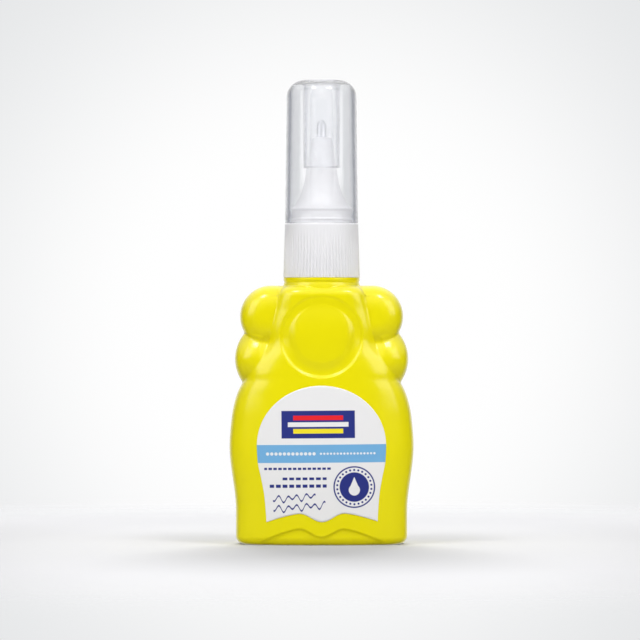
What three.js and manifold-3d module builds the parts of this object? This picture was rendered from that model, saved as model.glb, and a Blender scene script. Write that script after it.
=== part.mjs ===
// Correction fluid bottle: a flat squeeze bottle with side lobes, a screwed nozzle collar with a
// sprung steel tip, and a clear push-on cap. Millimetres, +Z up, front towards -Y, base at z = 0.
import * as THREE from "three";
import { mergeVertices } from "three/addons/utils/BufferGeometryUtils.js";
import Module from "manifold-3d";

const wasm = await Module();
wasm.setup();

// Bottle body
const BODY_HEIGHT = 58.5;
const FOOT_HALF_WIDTH = 19.4;
const FOOT_WAIST_Z = 7.5;
const BELLY_HALF_WIDTH = 20.85;
const BELLY_Z = 22.2;
const SHOULDER_HALF_WIDTH = 9.5;
const BELLY_HALF_DEPTH = 10;
const FOOT_HALF_DEPTH = 9.4;
const SHOULDER_HALF_DEPTH = 9.3;
const BASE_EDGE_RADIUS = 1.9;
const SHOULDER_EDGE_RADIUS = 2.3;
const WALL = 1.3;
const BELLY_ROUNDNESS = 2.5; // exponent of the rounded section: 2 is an ellipse, more is boxier
const CHEST_ROUNDNESS = 4.2;

// Lobes at the sides, each a flattened round pad that stands out of the chest
const UPPER_LOBE_RADIUS = 7;
const UPPER_LOBE_REACH = 18.45;
const UPPER_LOBE_HALF_DEPTH = 6.4;
const LOWER_LOBE_RADIUS = 9;
const LOWER_LOBE_REACH = 19.6;
const LOWER_LOBE_Z = 41.9;
const LOWER_LOBE_HALF_DEPTH = 6.6;
const LOBE_ROUNDNESS = 2.3;
const BLEND = 2;

// Relief on the front and back
const DISC_RADIUS = 7.6;
const DISC_Z = 47;
const GROOVE_WIDTH = 1.7;
const GROOVE_DEPTH = 0.5;
const WAVE_PEAK_X = 5.05;
const WAVE_PEAK_Z = 3.7;
const WAVE_VALLEY_Z = 1.85;
const WAVE_END_X = 13.9;
const WAVE_END_Z = 0.6;
const WAVE_DEPTH = 0.45;
const WAVE_FALL = 1.4; // 1 falls straight from a peak to the end, more starts flatter
const BASE_RECESS_HALF_WIDTH = 13.5;
const BASE_RECESS_HALF_DEPTH = 4.8;
const BASE_RECESS_DEPTH = 0.5;

// Label, an arch over a stripe with a wavy foot
const LABEL_HALF_WIDTH = 14.4;
const LABEL_ARCH_Z = 22.6;
const LABEL_ARCH_HEIGHT = 13.35;
const LABEL_SIDE_Z = 18.6;
const LABEL_FOOT_HALF_WIDTH = 12.3;
const LABEL_FOOT_Z = 5.35;
const LABEL_WAVE_RISE = 1.9;
const LABEL_TILT_DEG = 0.45;
const LABEL_THICKNESS = 0.2;
const LABEL_GAP = 0.1;

// Pedestal and threaded neck
const PEDESTAL_RADIUS = 8.6;
const PEDESTAL_HEIGHT = 1.7;
const NECK_RADIUS = 6.3;
const NECK_BORE_RADIUS = 5;
const THREAD_PITCH = 3;
const THREAD_TURNS = 1.5;
const THREAD_DEPTH = 0.75;
const THREAD_WIDTH = 1.2;
const THREAD_START = 2.6; // above the pedestal
const THREAD_CLEARANCE = 0.25;
const THREAD_ROOTING = 0.2; // how deep a ridge is rooted in its wall

// Sealing ring on the neck's lip
const GASKET_THICKNESS = 0.8;
const SEAT_GAP = 0.05;

// Screw collar with the nozzle
const COLLAR_HEIGHT = 12.2;
const COLLAR_BOTTOM_RADIUS = 8.64;
const COLLAR_TOP_RADIUS = 8.3;
const COLLAR_GAP = 0.1;
const CEILING_THICKNESS = 1;
const RIB_COUNT = 68;
const RIB_DEPTH = 0.22;
const PLUG_RADIUS = 6.75;
const PLUG_HEIGHT = 3.8;
const PLUG_BEAD = 0.2;
const NOZZLE_HEIGHT = 19.6; // from the collar's top
const NOZZLE_TOP_RADIUS = 2.15;
const NOZZLE_WAIST_RADIUS = 3.5;
const NOZZLE_WAIST_HEIGHT = 12.4;
const FLARE_FOOT_RADIUS = 6.35;
const CHAMBER_RADIUS = 5;
const CHAMBER_HEIGHT = 3.1;

// Steel tip: a barrel in the nozzle and a thinner tube that stands out of it
const BARREL_RADIUS = 1.7;
const BARREL_WALL = 0.45;
const BARREL_LENGTH = 9;
const TUBE_RADIUS = 1.125;
const TUBE_BORE_RADIUS = 0.7;
const TUBE_LENGTH = 5.2;
const TIP_CONE_HEIGHT = 1;
const TIP_MOUTH_RADIUS = 0.45;
const TIP_HOLE_RADIUS = 0.36;
const SOCKET_DEPTH = 2.2; // of the nozzle's narrow mouth
const TIP_CLEARANCE = 0.06;

// Valve inside the tip
const NEEDLE_END_RADIUS = 0.28;
const NEEDLE_STEM_RADIUS = 0.45;
const NEEDLE_HEAD_RADIUS = 1.05;
const NEEDLE_HEAD_HEIGHT = 1.6;
const NEEDLE_TAIL_LENGTH = 1.6;
const NEEDLE_PROTRUSION = 0.35;
const RETAINER_HEIGHT = 1.2;
const RETAINER_HOLE_RADIUS = 0.5;
const SPRING_WIRE_RADIUS = 0.15;
const SPRING_COIL_RADIUS = 0.8;
const SPRING_LENGTH = 4;
const SPRING_TURNS = 5;

// Mixing ball
const BALL_RADIUS = 2.75;
const BALL_GAP = 0.3;

// Cap with its inner sleeve
const CAP_HEIGHT = 32.4;
const CAP_BOTTOM_RADIUS = 8.26;
const CAP_TOP_RADIUS = 7.85;
const CAP_WALL = 0.95;
const CAP_DOME_RADIUS = 4.5;
const CAP_GAP = 0.1;
const CAP_BEAD_CLEARANCE = 0.13;
const CAP_BEAD_HEIGHT = 1.95;
const SLEEVE_TOP_RADIUS = 4.28;
const SLEEVE_BOTTOM_RADIUS = 4.15;
const SLEEVE_CLEARANCE = 0.12;
const SLEEVE_LAP = 0.2; // how far the sleeve's end reaches past the nozzle's waist
const SLEEVE_TOP_BORE_RADIUS = 3.45;

// How finely the round shapes are cut into flats
const BODY_SEGMENTS = 56;
const CAVITY_SEGMENTS = 28;
const ROUND_SEGMENTS = 40;
const FINE_SEGMENTS = 16;

// Heights that follow from the sizes above
const pedestalTop = BODY_HEIGHT + PEDESTAL_HEIGHT;
const collarBottom = pedestalTop + COLLAR_GAP;
const collarTop = collarBottom + COLLAR_HEIGHT;
const collarCeiling = collarTop - CEILING_THICKNESS;
const gasketTop = collarCeiling - SEAT_GAP;
const neckLip = gasketTop - GASKET_THICKNESS - SEAT_GAP;
const plugTop = collarTop + PLUG_HEIGHT;
const nozzleTop = collarTop + NOZZLE_HEIGHT;
const nozzleWaist = collarTop + NOZZLE_WAIST_HEIGHT;
const socketStep = nozzleTop - SOCKET_DEPTH;
const barrelTop = socketStep - TIP_CLEARANCE;
const barrelBottom = barrelTop - BARREL_LENGTH;
const tubeShoulder = barrelTop + TUBE_LENGTH;
const tipTop = tubeShoulder + TIP_CONE_HEIGHT;
const retainerTop = barrelBottom + RETAINER_HEIGHT;
const springBottom = retainerTop + SEAT_GAP;
const springTop = springBottom + SPRING_LENGTH;
const needleHeadBottom = springTop + SEAT_GAP;
const needleHeadTop = needleHeadBottom + NEEDLE_HEAD_HEIGHT;
const capBottom = collarTop + CAP_GAP;
const capTop = capBottom + CAP_HEIGHT;

// A closed three.js geometry as a solid that can be joined and cut
function solidOf(geometry) {
  const bare = geometry.clone();
  bare.deleteAttribute("normal");
  bare.deleteAttribute("uv");
  const merged = mergeVertices(bare, 1e-4);
  const mesh = new wasm.Mesh({
    numProp: 3,
    vertProperties: new Float32Array(merged.attributes.position.array),
    triVerts: new Uint32Array(merged.index.array),
  });
  return new wasm.Manifold(mesh);
}

// A solid back as a geometry with flat shaded faces
function geometryOf(solid) {
  const mesh = solid.getMesh();
  const shared = new THREE.BufferGeometry();
  shared.setAttribute("position", new THREE.BufferAttribute(mesh.vertProperties, 3));
  shared.setIndex(new THREE.BufferAttribute(mesh.triVerts, 1));
  const flat = shared.toNonIndexed();
  flat.computeVertexNormals();
  return flat;
}

// A profile of [radius, height] pairs, anticlockwise, turned about the Z axis
function turned(profile, segments = ROUND_SEGMENTS) {
  const points = profile.map(([radius, height]) => new THREE.Vector2(radius, height));
  const first = profile[0];
  const last = profile[profile.length - 1];
  if (first[0] > 0 || last[0] > 0) points.push(points[0].clone());
  return new THREE.LatheGeometry(points, segments).rotateX(Math.PI / 2);
}

// Rings of points stacked upwards, closed below and above by a fan
function lofted(rings) {
  const count = rings[0].length;
  const positions = rings.flat().flatMap((point) => point.toArray());
  const indices = [];
  for (let level = 0; level < rings.length - 1; level++) {
    for (let i = 0; i < count; i++) {
      const a = level * count + i;
      const b = level * count + ((i + 1) % count);
      indices.push(a, b, b + count, a, b + count, a + count);
    }
  }
  for (const level of [0, rings.length - 1]) {
    const middle = positions.length / 3;
    positions.push(0, 0, rings[level][0].z);
    for (let i = 0; i < count; i++) {
      const a = level * count + i;
      const b = level * count + ((i + 1) % count);
      if (level === 0) indices.push(middle, b, a);
      else indices.push(middle, a, b);
    }
  }
  const geometry = new THREE.BufferGeometry();
  geometry.setAttribute("position", new THREE.Float32BufferAttribute(positions, 3));
  geometry.setIndex(indices);
  return geometry;
}

// A front-view outline in x and z, pulled from the middle plane towards the front
function pulledForward(shape, depth, curveSegments = 12) {
  const options = { depth, bevelEnabled: false, curveSegments };
  return new THREE.ExtrudeGeometry(shape, options).rotateX(Math.PI / 2);
}

// The value between [position, value] pairs, with a smooth slope through each
function smoothThrough(pairs, at) {
  const last = pairs.length - 1;
  if (at <= pairs[0][0]) return pairs[0][1];
  if (at >= pairs[last][0]) return pairs[last][1];
  const i = pairs.findIndex(([position]) => position > at) - 1;
  const slope = (k) => {
    if (k === 0 || k === last) return 0;
    const before = (pairs[k][1] - pairs[k - 1][1]) / (pairs[k][0] - pairs[k - 1][0]);
    const after = (pairs[k + 1][1] - pairs[k][1]) / (pairs[k + 1][0] - pairs[k][0]);
    return before * after <= 0 ? 0 : (2 * before * after) / (before + after);
  };
  const width = pairs[i + 1][0] - pairs[i][0];
  const t = (at - pairs[i][0]) / width;
  const rise = pairs[i][1] * (1 + 2 * t) * (1 - t) ** 2 + pairs[i + 1][1] * t ** 2 * (3 - 2 * t);
  return rise + width * (slope(i) * t * (1 - t) ** 2 - slope(i + 1) * t ** 2 * (1 - t));
}

// Half width of the chest and belly, without the lobes
function trunkHalfWidth(z) {
  const lobeBottom = LOWER_LOBE_Z - LOWER_LOBE_RADIUS;
  return smoothThrough(
    [
      [FOOT_WAIST_Z, FOOT_HALF_WIDTH],
      [BELLY_Z, BELLY_HALF_WIDTH],
      [BELLY_Z + (lobeBottom - BELLY_Z) * 0.62, BELLY_HALF_WIDTH - 0.5],
      [lobeBottom + 2, BELLY_HALF_WIDTH - 2.05],
      [LOWER_LOBE_Z - 2, (BELLY_HALF_WIDTH + SHOULDER_HALF_WIDTH) / 2],
      [LOWER_LOBE_Z + 3, SHOULDER_HALF_WIDTH + 2.8],
      [DISC_Z + 4, SHOULDER_HALF_WIDTH + 1.4],
      [BODY_HEIGHT, SHOULDER_HALF_WIDTH],
    ],
    z,
  );
}

function trunkHalfDepth(z) {
  const levels = [
    [0, FOOT_HALF_DEPTH],
    [BELLY_Z, BELLY_HALF_DEPTH],
    [BODY_HEIGHT, SHOULDER_HALF_DEPTH],
  ];
  return smoothThrough(levels, z);
}

function trunkRoundness(z) {
  return smoothThrough([[BELLY_Z, BELLY_ROUNDNESS], [DISC_Z, CHEST_ROUNDNESS]], z);
}

// How far a rounded top or bottom edge has drawn in at height z, on a body grown by offset
function edgeInset(z, offset) {
  const low = BASE_EDGE_RADIUS + offset;
  const high = SHOULDER_EDGE_RADIUS + offset;
  const below = Math.max(0, low - (z + offset));
  const above = Math.max(0, high - (BODY_HEIGHT + offset - z));
  if (below > 0) return low - Math.sqrt(Math.max(0, low ** 2 - below ** 2));
  if (above > 0) return high - Math.sqrt(Math.max(0, high ** 2 - above ** 2));
  return 0;
}

const lobes = [
  {
    radius: UPPER_LOBE_RADIUS,
    middleX: UPPER_LOBE_REACH - UPPER_LOBE_RADIUS,
    middleZ: BODY_HEIGHT - UPPER_LOBE_RADIUS,
    halfDepth: UPPER_LOBE_HALF_DEPTH,
  },
  {
    radius: LOWER_LOBE_RADIUS,
    middleX: LOWER_LOBE_REACH - LOWER_LOBE_RADIUS,
    middleZ: LOWER_LOBE_Z,
    halfDepth: LOWER_LOBE_HALF_DEPTH,
  },
];

function lobeHalfWidth(lobe, z, offset) {
  const rise = (lobe.radius + offset) ** 2 - (z - lobe.middleZ) ** 2;
  return rise > 0 ? lobe.middleX + Math.sqrt(rise) : 0;
}

function bodyHalfWidth(z, offset) {
  const trunk = trunkHalfWidth(z) + offset - edgeInset(z, offset);
  return Math.max(trunk, ...lobes.map((lobe) => lobeHalfWidth(lobe, z, offset)));
}

// The larger of two heights, with a rounded crease where they are alike
function blended(a, b) {
  const reach = Math.min(BLEND, 2 * Math.min(a, b));
  if (reach <= 0) return Math.max(a, b);
  const near = Math.max(reach - Math.abs(a - b), 0) / reach;
  return Math.max(a, b) + (near * near * reach) / 4;
}

// Half depth of the body at a point of its front view, on a body grown by offset
function bodyHalfDepth(x, z, offset) {
  const inset = edgeInset(z, offset);
  const across = Math.abs(x) / (trunkHalfWidth(z) + offset - inset);
  const roundness = trunkRoundness(z);
  const trunk = Math.max(0, 1 - across ** roundness) ** (1 / roundness);
  let depth = trunk * (trunkHalfDepth(z) + offset - inset);
  for (const lobe of lobes) {
    const outward = Math.max(0, Math.abs(x) - lobe.middleX);
    const away = Math.hypot(outward, z - lobe.middleZ) / (lobe.radius + offset);
    const pad = Math.max(0, 1 - away ** LOBE_ROUNDNESS) ** (1 / LOBE_ROUNDNESS);
    depth = blended(depth, pad * (lobe.halfDepth + offset));
  }
  return depth;
}

// Heights from one level to the next, closer together at the end named tight
function heights(from, to, steps, tight = "none") {
  const list = [];
  for (let i = 0; i < steps; i++) {
    const t = i / steps;
    let share = t;
    if (tight === "start") share = 1 - Math.cos((t * Math.PI) / 2);
    if (tight === "end") share = Math.sin((t * Math.PI) / 2);
    list.push(from + (to - from) * share);
  }
  return list;
}

// The height where the two lobes' outlines cross
function lobeNotchZ(offset) {
  let low = LOWER_LOBE_Z;
  let high = lobes[0].middleZ;
  for (let i = 0; i < 30; i++) {
    const middle = (low + high) / 2;
    const upper = lobeHalfWidth(lobes[0], middle, offset);
    const lower = lobeHalfWidth(lobes[1], middle, offset);
    if (upper > lower) high = middle;
    else low = middle;
  }
  return (low + high) / 2;
}

// The body without relief, grown by offset, which is negative for its cavity
function bodySolid(offset, segments, fineness = 1) {
  const bottom = -offset;
  const top = BODY_HEIGHT + offset;
  const baseEdge = bottom + BASE_EDGE_RADIUS + offset;
  const lobeBottom = LOWER_LOBE_Z - LOWER_LOBE_RADIUS * 0.62;
  const notch = lobeNotchZ(offset);
  const steps = (count) => Math.max(1, Math.round(count * fineness));
  const levels = [
    ...heights(bottom, baseEdge, steps(3), "start"),
    ...heights(baseEdge, BELLY_Z, steps(5)),
    ...heights(BELLY_Z, lobeBottom, steps(4)),
    ...heights(lobeBottom, LOWER_LOBE_Z, steps(4)),
    ...heights(LOWER_LOBE_Z, notch, steps(4), "end"),
    ...heights(notch, lobes[0].middleZ, steps(3)),
    ...heights(lobes[0].middleZ, top - 0.05, steps(6), "end"),
    top - 0.05,
  ];
  const rings = levels.map((z) => {
    const halfWidth = bodyHalfWidth(z, offset);
    return Array.from({ length: segments }, (_, i) => {
      const turn = (i / segments) * 2 * Math.PI;
      const x = halfWidth * Math.cos(turn);
      const side = Math.abs(Math.sin(turn)) < 1e-9 ? 0 : Math.sign(Math.sin(turn));
      return new THREE.Vector3(x, side * bodyHalfDepth(x, z, offset), z);
    });
  });
  return solidOf(lofted(rings));
}

// A line from one side to the other: a valley in the middle, a peak beside it, and down to the ends
function waveLine(valley, rise, endX, endZ, steps = 8) {
  const peak = valley + rise;
  const half = [];
  for (let i = 0; i <= steps; i++) {
    const t = i / steps;
    half.push([WAVE_PEAK_X * t, valley + rise * (0.5 - 0.5 * Math.cos(Math.PI * t))]);
  }
  for (let i = 1; i <= steps; i++) {
    const t = i / steps;
    half.push([WAVE_PEAK_X + (endX - WAVE_PEAK_X) * t, peak - (peak - endZ) * t ** WAVE_FALL]);
  }
  const mirrored = half.slice(1).reverse().map(([x, z]) => [-x, z]);
  return [...mirrored, ...half];
}

function shapeOf(points) {
  return new THREE.Shape(points.map(([x, z]) => new THREE.Vector2(x, z)));
}

// Material of the bottle's front within an outline, between two depths under its surface
function skin(shape, outer, inner, curveSegments) {
  const reach = BELLY_HALF_DEPTH + 3;
  const column = solidOf(pulledForward(shape, reach, curveSegments));
  return column.intersect(bodySolid(outer, BODY_SEGMENTS)).subtract(bodySolid(inner, BODY_SEGMENTS));
}

function discGroove() {
  const shape = new THREE.Shape().absarc(0, DISC_Z, DISC_RADIUS + GROOVE_WIDTH, 0, 2 * Math.PI);
  shape.holes.push(new THREE.Path().absarc(0, DISC_Z, DISC_RADIUS, 0, 2 * Math.PI, true));
  return skin(shape, 1, -GROOVE_DEPTH, 20);
}

function footPanel() {
  const wave = waveLine(WAVE_VALLEY_Z, WAVE_PEAK_Z - WAVE_VALLEY_Z, WAVE_END_X, WAVE_END_Z);
  const outline = [[-WAVE_END_X, -2], [WAVE_END_X, -2], ...wave.reverse()];
  return skin(shapeOf(outline), 1, -WAVE_DEPTH);
}

function labelOutline() {
  const wave = waveLine(LABEL_FOOT_Z, LABEL_WAVE_RISE, LABEL_FOOT_HALF_WIDTH, LABEL_FOOT_Z);
  const shape = shapeOf(wave);
  const bend = (LABEL_SIDE_Z - LABEL_FOOT_Z) * 0.45;
  const foot = LABEL_FOOT_HALF_WIDTH;
  const side = LABEL_HALF_WIDTH;
  shape.bezierCurveTo(foot + 0.4, LABEL_FOOT_Z + bend, side, LABEL_SIDE_Z - bend, side, LABEL_SIDE_Z);
  shape.lineTo(side, LABEL_ARCH_Z);
  shape.absellipse(0, LABEL_ARCH_Z, side, LABEL_ARCH_HEIGHT, 0, Math.PI);
  shape.lineTo(-side, LABEL_SIDE_Z);
  shape.bezierCurveTo(-side, LABEL_SIDE_Z - bend, -foot - 0.4, LABEL_FOOT_Z + bend, -foot, LABEL_FOOT_Z);
  const tilt = THREE.MathUtils.degToRad(LABEL_TILT_DEG);
  const middle = new THREE.Vector2(0, LABEL_SIDE_Z);
  return new THREE.Shape(shape.getPoints(8).map((point) => point.rotateAround(middle, tilt)));
}

function labelSolid() {
  return skin(labelOutline(), LABEL_GAP + LABEL_THICKNESS, LABEL_GAP);
}

// A thread's ridge that climbs anticlockwise about the Z axis, from radius root to radius crest
function helicalRidge(root, crest, startZ, turns) {
  const perTurn = 20;
  const count = Math.round(perTurn * turns);
  const rootHalf = THREAD_WIDTH / 2;
  const crestHalf = THREAD_WIDTH * 0.3;
  const outward = crest > root;
  const rings = [];
  for (let i = 0; i <= count; i++) {
    const angle = (i / perTurn) * 2 * Math.PI;
    const z = startZ + (THREAD_PITCH * i) / perTurn;
    const fade = Math.min(1, 0.25 + (Math.min(i, count - i) * 3) / perTurn);
    const reach = root + (crest - root) * fade;
    const section = [[root, -rootHalf], [reach, -crestHalf], [reach, crestHalf], [root, rootHalf]];
    rings.push(section.map(([radius, rise]) =>
      new THREE.Vector3(radius * Math.cos(angle), radius * Math.sin(angle), z + rise)));
  }
  const positions = rings.flat().flatMap((point) => point.toArray());
  const indices = [];
  const face = (a, b, c) => indices.push(...(outward ? [a, b, c] : [a, c, b]));
  for (let i = 0; i < count; i++) {
    for (let k = 0; k < 4; k++) {
      const a = i * 4 + k;
      const b = i * 4 + ((k + 1) % 4);
      face(a, b + 4, b);
      face(a, a + 4, b + 4);
    }
  }
  const end = count * 4;
  face(0, 1, 2);
  face(0, 2, 3);
  face(end, end + 2, end + 1);
  face(end, end + 3, end + 2);
  const geometry = new THREE.BufferGeometry();
  geometry.setAttribute("position", new THREE.Float32BufferAttribute(positions, 3));
  geometry.setIndex(indices);
  return solidOf(geometry);
}

// A plain round bar about the Z axis
function bar(radius, bottom, top) {
  return solidOf(turned([[0, bottom], [radius, bottom], [radius, top], [0, top]]));
}

function bottleBody() {
  const outside = bodySolid(0, BODY_SEGMENTS);
  const cavity = bodySolid(-WALL, CAVITY_SEGMENTS, 0.5);
  const rooted = BODY_HEIGHT - SHOULDER_EDGE_RADIUS;
  const pedestal = bar(PEDESTAL_RADIUS, rooted, pedestalTop);
  const neck = bar(NECK_RADIUS, rooted, neckLip);
  const bore = bar(NECK_BORE_RADIUS, BODY_HEIGHT - WALL - 2, neckLip + 1);
  const threadRoot = NECK_RADIUS - THREAD_ROOTING;
  const threadCrest = NECK_RADIUS + THREAD_DEPTH;
  const thread = helicalRidge(threadRoot, threadCrest, pedestalTop + THREAD_START, THREAD_TURNS);
  const recess = solidOf(
    turned([[0, -1], [1, -1], [1, BASE_RECESS_DEPTH], [0, BASE_RECESS_DEPTH]], 28)
      .scale(BASE_RECESS_HALF_WIDTH, BASE_RECESS_HALF_DEPTH, 1),
  );
  const relief = discGroove().add(footPanel());
  return outside
    .subtract(relief)
    .subtract(relief.rotate([0, 0, 180]))
    .add(pedestal)
    .add(neck)
    .add(thread)
    .subtract(cavity)
    .subtract(bore)
    .subtract(recess);
}

function neckGasket() {
  const bottom = neckLip + SEAT_GAP;
  return solidOf(turned([
    [NECK_BORE_RADIUS, bottom],
    [NECK_RADIUS, bottom],
    [NECK_RADIUS, gasketTop],
    [NECK_BORE_RADIUS, gasketTop],
  ]));
}

// The collar's ribbed outside: the ribs are deepest at the bottom and fade out at the top
function ribbedDrum() {
  const count = RIB_COUNT * 2;
  const fadeStart = collarTop - 2.5;
  const levels = [[collarBottom, 1], [fadeStart, 0.8], [collarTop, 0]];
  return solidOf(lofted(levels.map(([z, fade]) => {
    const share = (z - collarBottom) / COLLAR_HEIGHT;
    const radius = COLLAR_BOTTOM_RADIUS + (COLLAR_TOP_RADIUS - COLLAR_BOTTOM_RADIUS) * share;
    return Array.from({ length: count }, (_, i) => {
      const angle = (i / count) * 2 * Math.PI;
      const at = radius - (i % 2) * RIB_DEPTH * fade;
      return new THREE.Vector3(at * Math.cos(angle), at * Math.sin(angle), z);
    });
  })));
}

function plugAndNozzle() {
  const bead = PLUG_RADIUS + PLUG_BEAD;
  const flare = new THREE.QuadraticBezierCurve(
    new THREE.Vector2(FLARE_FOOT_RADIUS, plugTop),
    new THREE.Vector2(NOZZLE_WAIST_RADIUS + 0.4, plugTop + 3),
    new THREE.Vector2(NOZZLE_WAIST_RADIUS, nozzleWaist),
  );
  return solidOf(turned([
    [0, collarCeiling],
    [PLUG_RADIUS, collarCeiling],
    [PLUG_RADIUS, collarTop + 0.6],
    [bead, collarTop + 0.9],
    [bead, collarTop + 1.1],
    [PLUG_RADIUS, collarTop + 1.4],
    [PLUG_RADIUS, plugTop - 1],
    [bead, plugTop - 0.7],
    [bead, plugTop - 0.5],
    ...flare.getPoints(7).map((point) => [point.x, point.y]),
    [NOZZLE_TOP_RADIUS, nozzleTop - 0.3],
    [NOZZLE_TOP_RADIUS - 0.3, nozzleTop],
    [0, nozzleTop],
  ]));
}

function nozzleCollar() {
  const boreRadius = NECK_RADIUS + THREAD_DEPTH + THREAD_CLEARANCE;
  const barrelBore = BARREL_RADIUS + TIP_CLEARANCE;
  const tubeBore = TUBE_RADIUS + TIP_CLEARANCE;
  const socket = bar(boreRadius, collarBottom - 1, collarCeiling);
  const channel = solidOf(turned([
    [0, collarCeiling - 0.5],
    [CHAMBER_RADIUS, collarCeiling - 0.5],
    [CHAMBER_RADIUS, collarTop + CHAMBER_HEIGHT],
    [barrelBore, barrelBottom],
    [barrelBore, socketStep],
    [tubeBore, socketStep],
    [tubeBore, nozzleTop + 1],
    [0, nozzleTop + 1],
  ], 24));
  const ridge = helicalRidge(
    boreRadius + THREAD_ROOTING,
    NECK_RADIUS + THREAD_CLEARANCE,
    pedestalTop + THREAD_START + THREAD_PITCH / 2,
    THREAD_TURNS,
  );
  return ribbedDrum().add(plugAndNozzle()).subtract(socket).add(ridge).subtract(channel);
}

function metalTip() {
  const barrelBore = BARREL_RADIUS - BARREL_WALL;
  return solidOf(turned([
    [barrelBore, barrelBottom],
    [BARREL_RADIUS, barrelBottom],
    [BARREL_RADIUS, barrelTop - 0.3],
    [BARREL_RADIUS - 0.3, barrelTop],
    [TUBE_RADIUS, barrelTop],
    [TUBE_RADIUS, tubeShoulder],
    [TIP_MOUTH_RADIUS + 0.1, tipTop - 0.1],
    [TIP_MOUTH_RADIUS, tipTop],
    [TIP_HOLE_RADIUS, tipTop],
    [TIP_HOLE_RADIUS, tipTop - 0.4],
    [TUBE_BORE_RADIUS, tubeShoulder - 0.2],
    [TUBE_BORE_RADIUS, barrelTop - 0.5],
    [barrelBore, barrelTop - 1],
  ], FINE_SEGMENTS));
}

function valveNeedle() {
  const end = tipTop + NEEDLE_PROTRUSION;
  const neck = tubeShoulder - 0.4;
  const radius = NEEDLE_END_RADIUS;
  return solidOf(turned([
    [0, needleHeadBottom - NEEDLE_TAIL_LENGTH],
    [NEEDLE_STEM_RADIUS, needleHeadBottom - NEEDLE_TAIL_LENGTH],
    [NEEDLE_STEM_RADIUS, needleHeadBottom],
    [NEEDLE_HEAD_RADIUS, needleHeadBottom],
    [NEEDLE_HEAD_RADIUS, needleHeadTop - 0.5],
    [NEEDLE_STEM_RADIUS, needleHeadTop],
    [NEEDLE_STEM_RADIUS, neck - 0.3],
    [radius, neck],
    [radius, end - radius],
    [radius * 0.71, end - radius * 0.29],
    [0, end],
  ], 12));
}

class Helix extends THREE.Curve {
  getPoint(t, target = new THREE.Vector3()) {
    const angle = t * SPRING_TURNS * 2 * Math.PI;
    const climb = SPRING_LENGTH - 2 * SPRING_WIRE_RADIUS;
    const z = springBottom + SPRING_WIRE_RADIUS + climb * t;
    return target.set(SPRING_COIL_RADIUS * Math.cos(angle), SPRING_COIL_RADIUS * Math.sin(angle), z);
  }
}

function valveSpring() {
  const wire = new THREE.Shape().absarc(0, 0, SPRING_WIRE_RADIUS, 0, 2 * Math.PI);
  const section = new THREE.Shape(wire.getPoints(5).slice(0, 5));
  const options = { steps: SPRING_TURNS * 8, extrudePath: new Helix(), bevelEnabled: false };
  return solidOf(new THREE.ExtrudeGeometry(section, options));
}

function springRetainer() {
  const radius = BARREL_RADIUS - BARREL_WALL - SEAT_GAP;
  return solidOf(turned([
    [RETAINER_HOLE_RADIUS, barrelBottom],
    [radius, barrelBottom],
    [radius, retainerTop],
    [RETAINER_HOLE_RADIUS, retainerTop],
  ], FINE_SEGMENTS));
}

function mixingBall() {
  const z = WALL + BALL_GAP + BALL_RADIUS;
  const sphere = new THREE.SphereGeometry(BALL_RADIUS, FINE_SEGMENTS, 10);
  return solidOf(sphere.rotateX(Math.PI / 2).translate(0, 0, z));
}

// Points of a quarter round from the side of a dome to its top
function domeArc(middleX, middleZ, radius, fromAngle, toAngle, steps) {
  return Array.from({ length: steps + 1 }, (_, i) => {
    const angle = fromAngle + ((toAngle - fromAngle) * i) / steps;
    return [middleX + radius * Math.cos(angle), middleZ + radius * Math.sin(angle)];
  });
}

function capSolid() {
  const springZ = capTop - CAP_DOME_RADIUS;
  const domeX = CAP_TOP_RADIUS - CAP_DOME_RADIUS;
  const innerDome = CAP_DOME_RADIUS - CAP_WALL;
  const innerBottom = CAP_BOTTOM_RADIUS - CAP_WALL;
  const sleeveAngle = Math.acos((SLEEVE_TOP_RADIUS - domeX) / innerDome);
  const sleeveBottom = nozzleWaist + SLEEVE_LAP;
  const sleeveBore = NOZZLE_WAIST_RADIUS + SLEEVE_CLEARANCE;
  const bead = PLUG_RADIUS + PLUG_BEAD + CAP_BEAD_CLEARANCE;
  const beadZ = capBottom + CAP_BEAD_HEIGHT;
  return solidOf(turned([
    [0, capTop - CAP_WALL],
    [SLEEVE_TOP_BORE_RADIUS - 0.5, capTop - CAP_WALL],
    [SLEEVE_TOP_BORE_RADIUS, capTop - CAP_WALL - 0.5],
    [sleeveBore, sleeveBottom + 0.4],
    [sleeveBore + 0.2, sleeveBottom],
    [SLEEVE_BOTTOM_RADIUS - 0.2, sleeveBottom],
    [SLEEVE_BOTTOM_RADIUS, sleeveBottom + 0.5],
    ...domeArc(domeX, springZ, innerDome, sleeveAngle, 0, 5),
    [innerBottom, beadZ + 0.3],
    [bead, beadZ + 0.1],
    [bead, beadZ - 0.1],
    [innerBottom, beadZ - 0.3],
    [innerBottom, capBottom],
    [CAP_BOTTOM_RADIUS, capBottom],
    ...domeArc(domeX, springZ, CAP_DOME_RADIUS, 0, Math.PI / 2, 7),
    [0, capTop],
  ]));
}

// One named mesh with its own material
function piece(name, solid, color, roughness, metalness, opacity = 1) {
  const finish = { color, roughness, metalness, opacity, transparent: opacity < 1 };
  const mesh = new THREE.Mesh(geometryOf(solid), new THREE.MeshStandardMaterial(finish));
  mesh.name = name;
  return mesh;
}

const label = labelSolid();

const bottle = new THREE.Group();
bottle.add(
  piece("bottle_body", bottleBody(), 0xe9dd00, 0.35, 0),
  piece("front_label", label, 0xe8e7e7, 0.5, 0),
  piece("back_label", label.rotate([0, 0, 180]), 0xe8e7e7, 0.5, 0),
  piece("neck_gasket", neckGasket(), 0xd8d6d0, 0.9, 0),
  piece("mixing_ball", mixingBall(), 0xb8bcc0, 0.2, 1),
);

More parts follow.
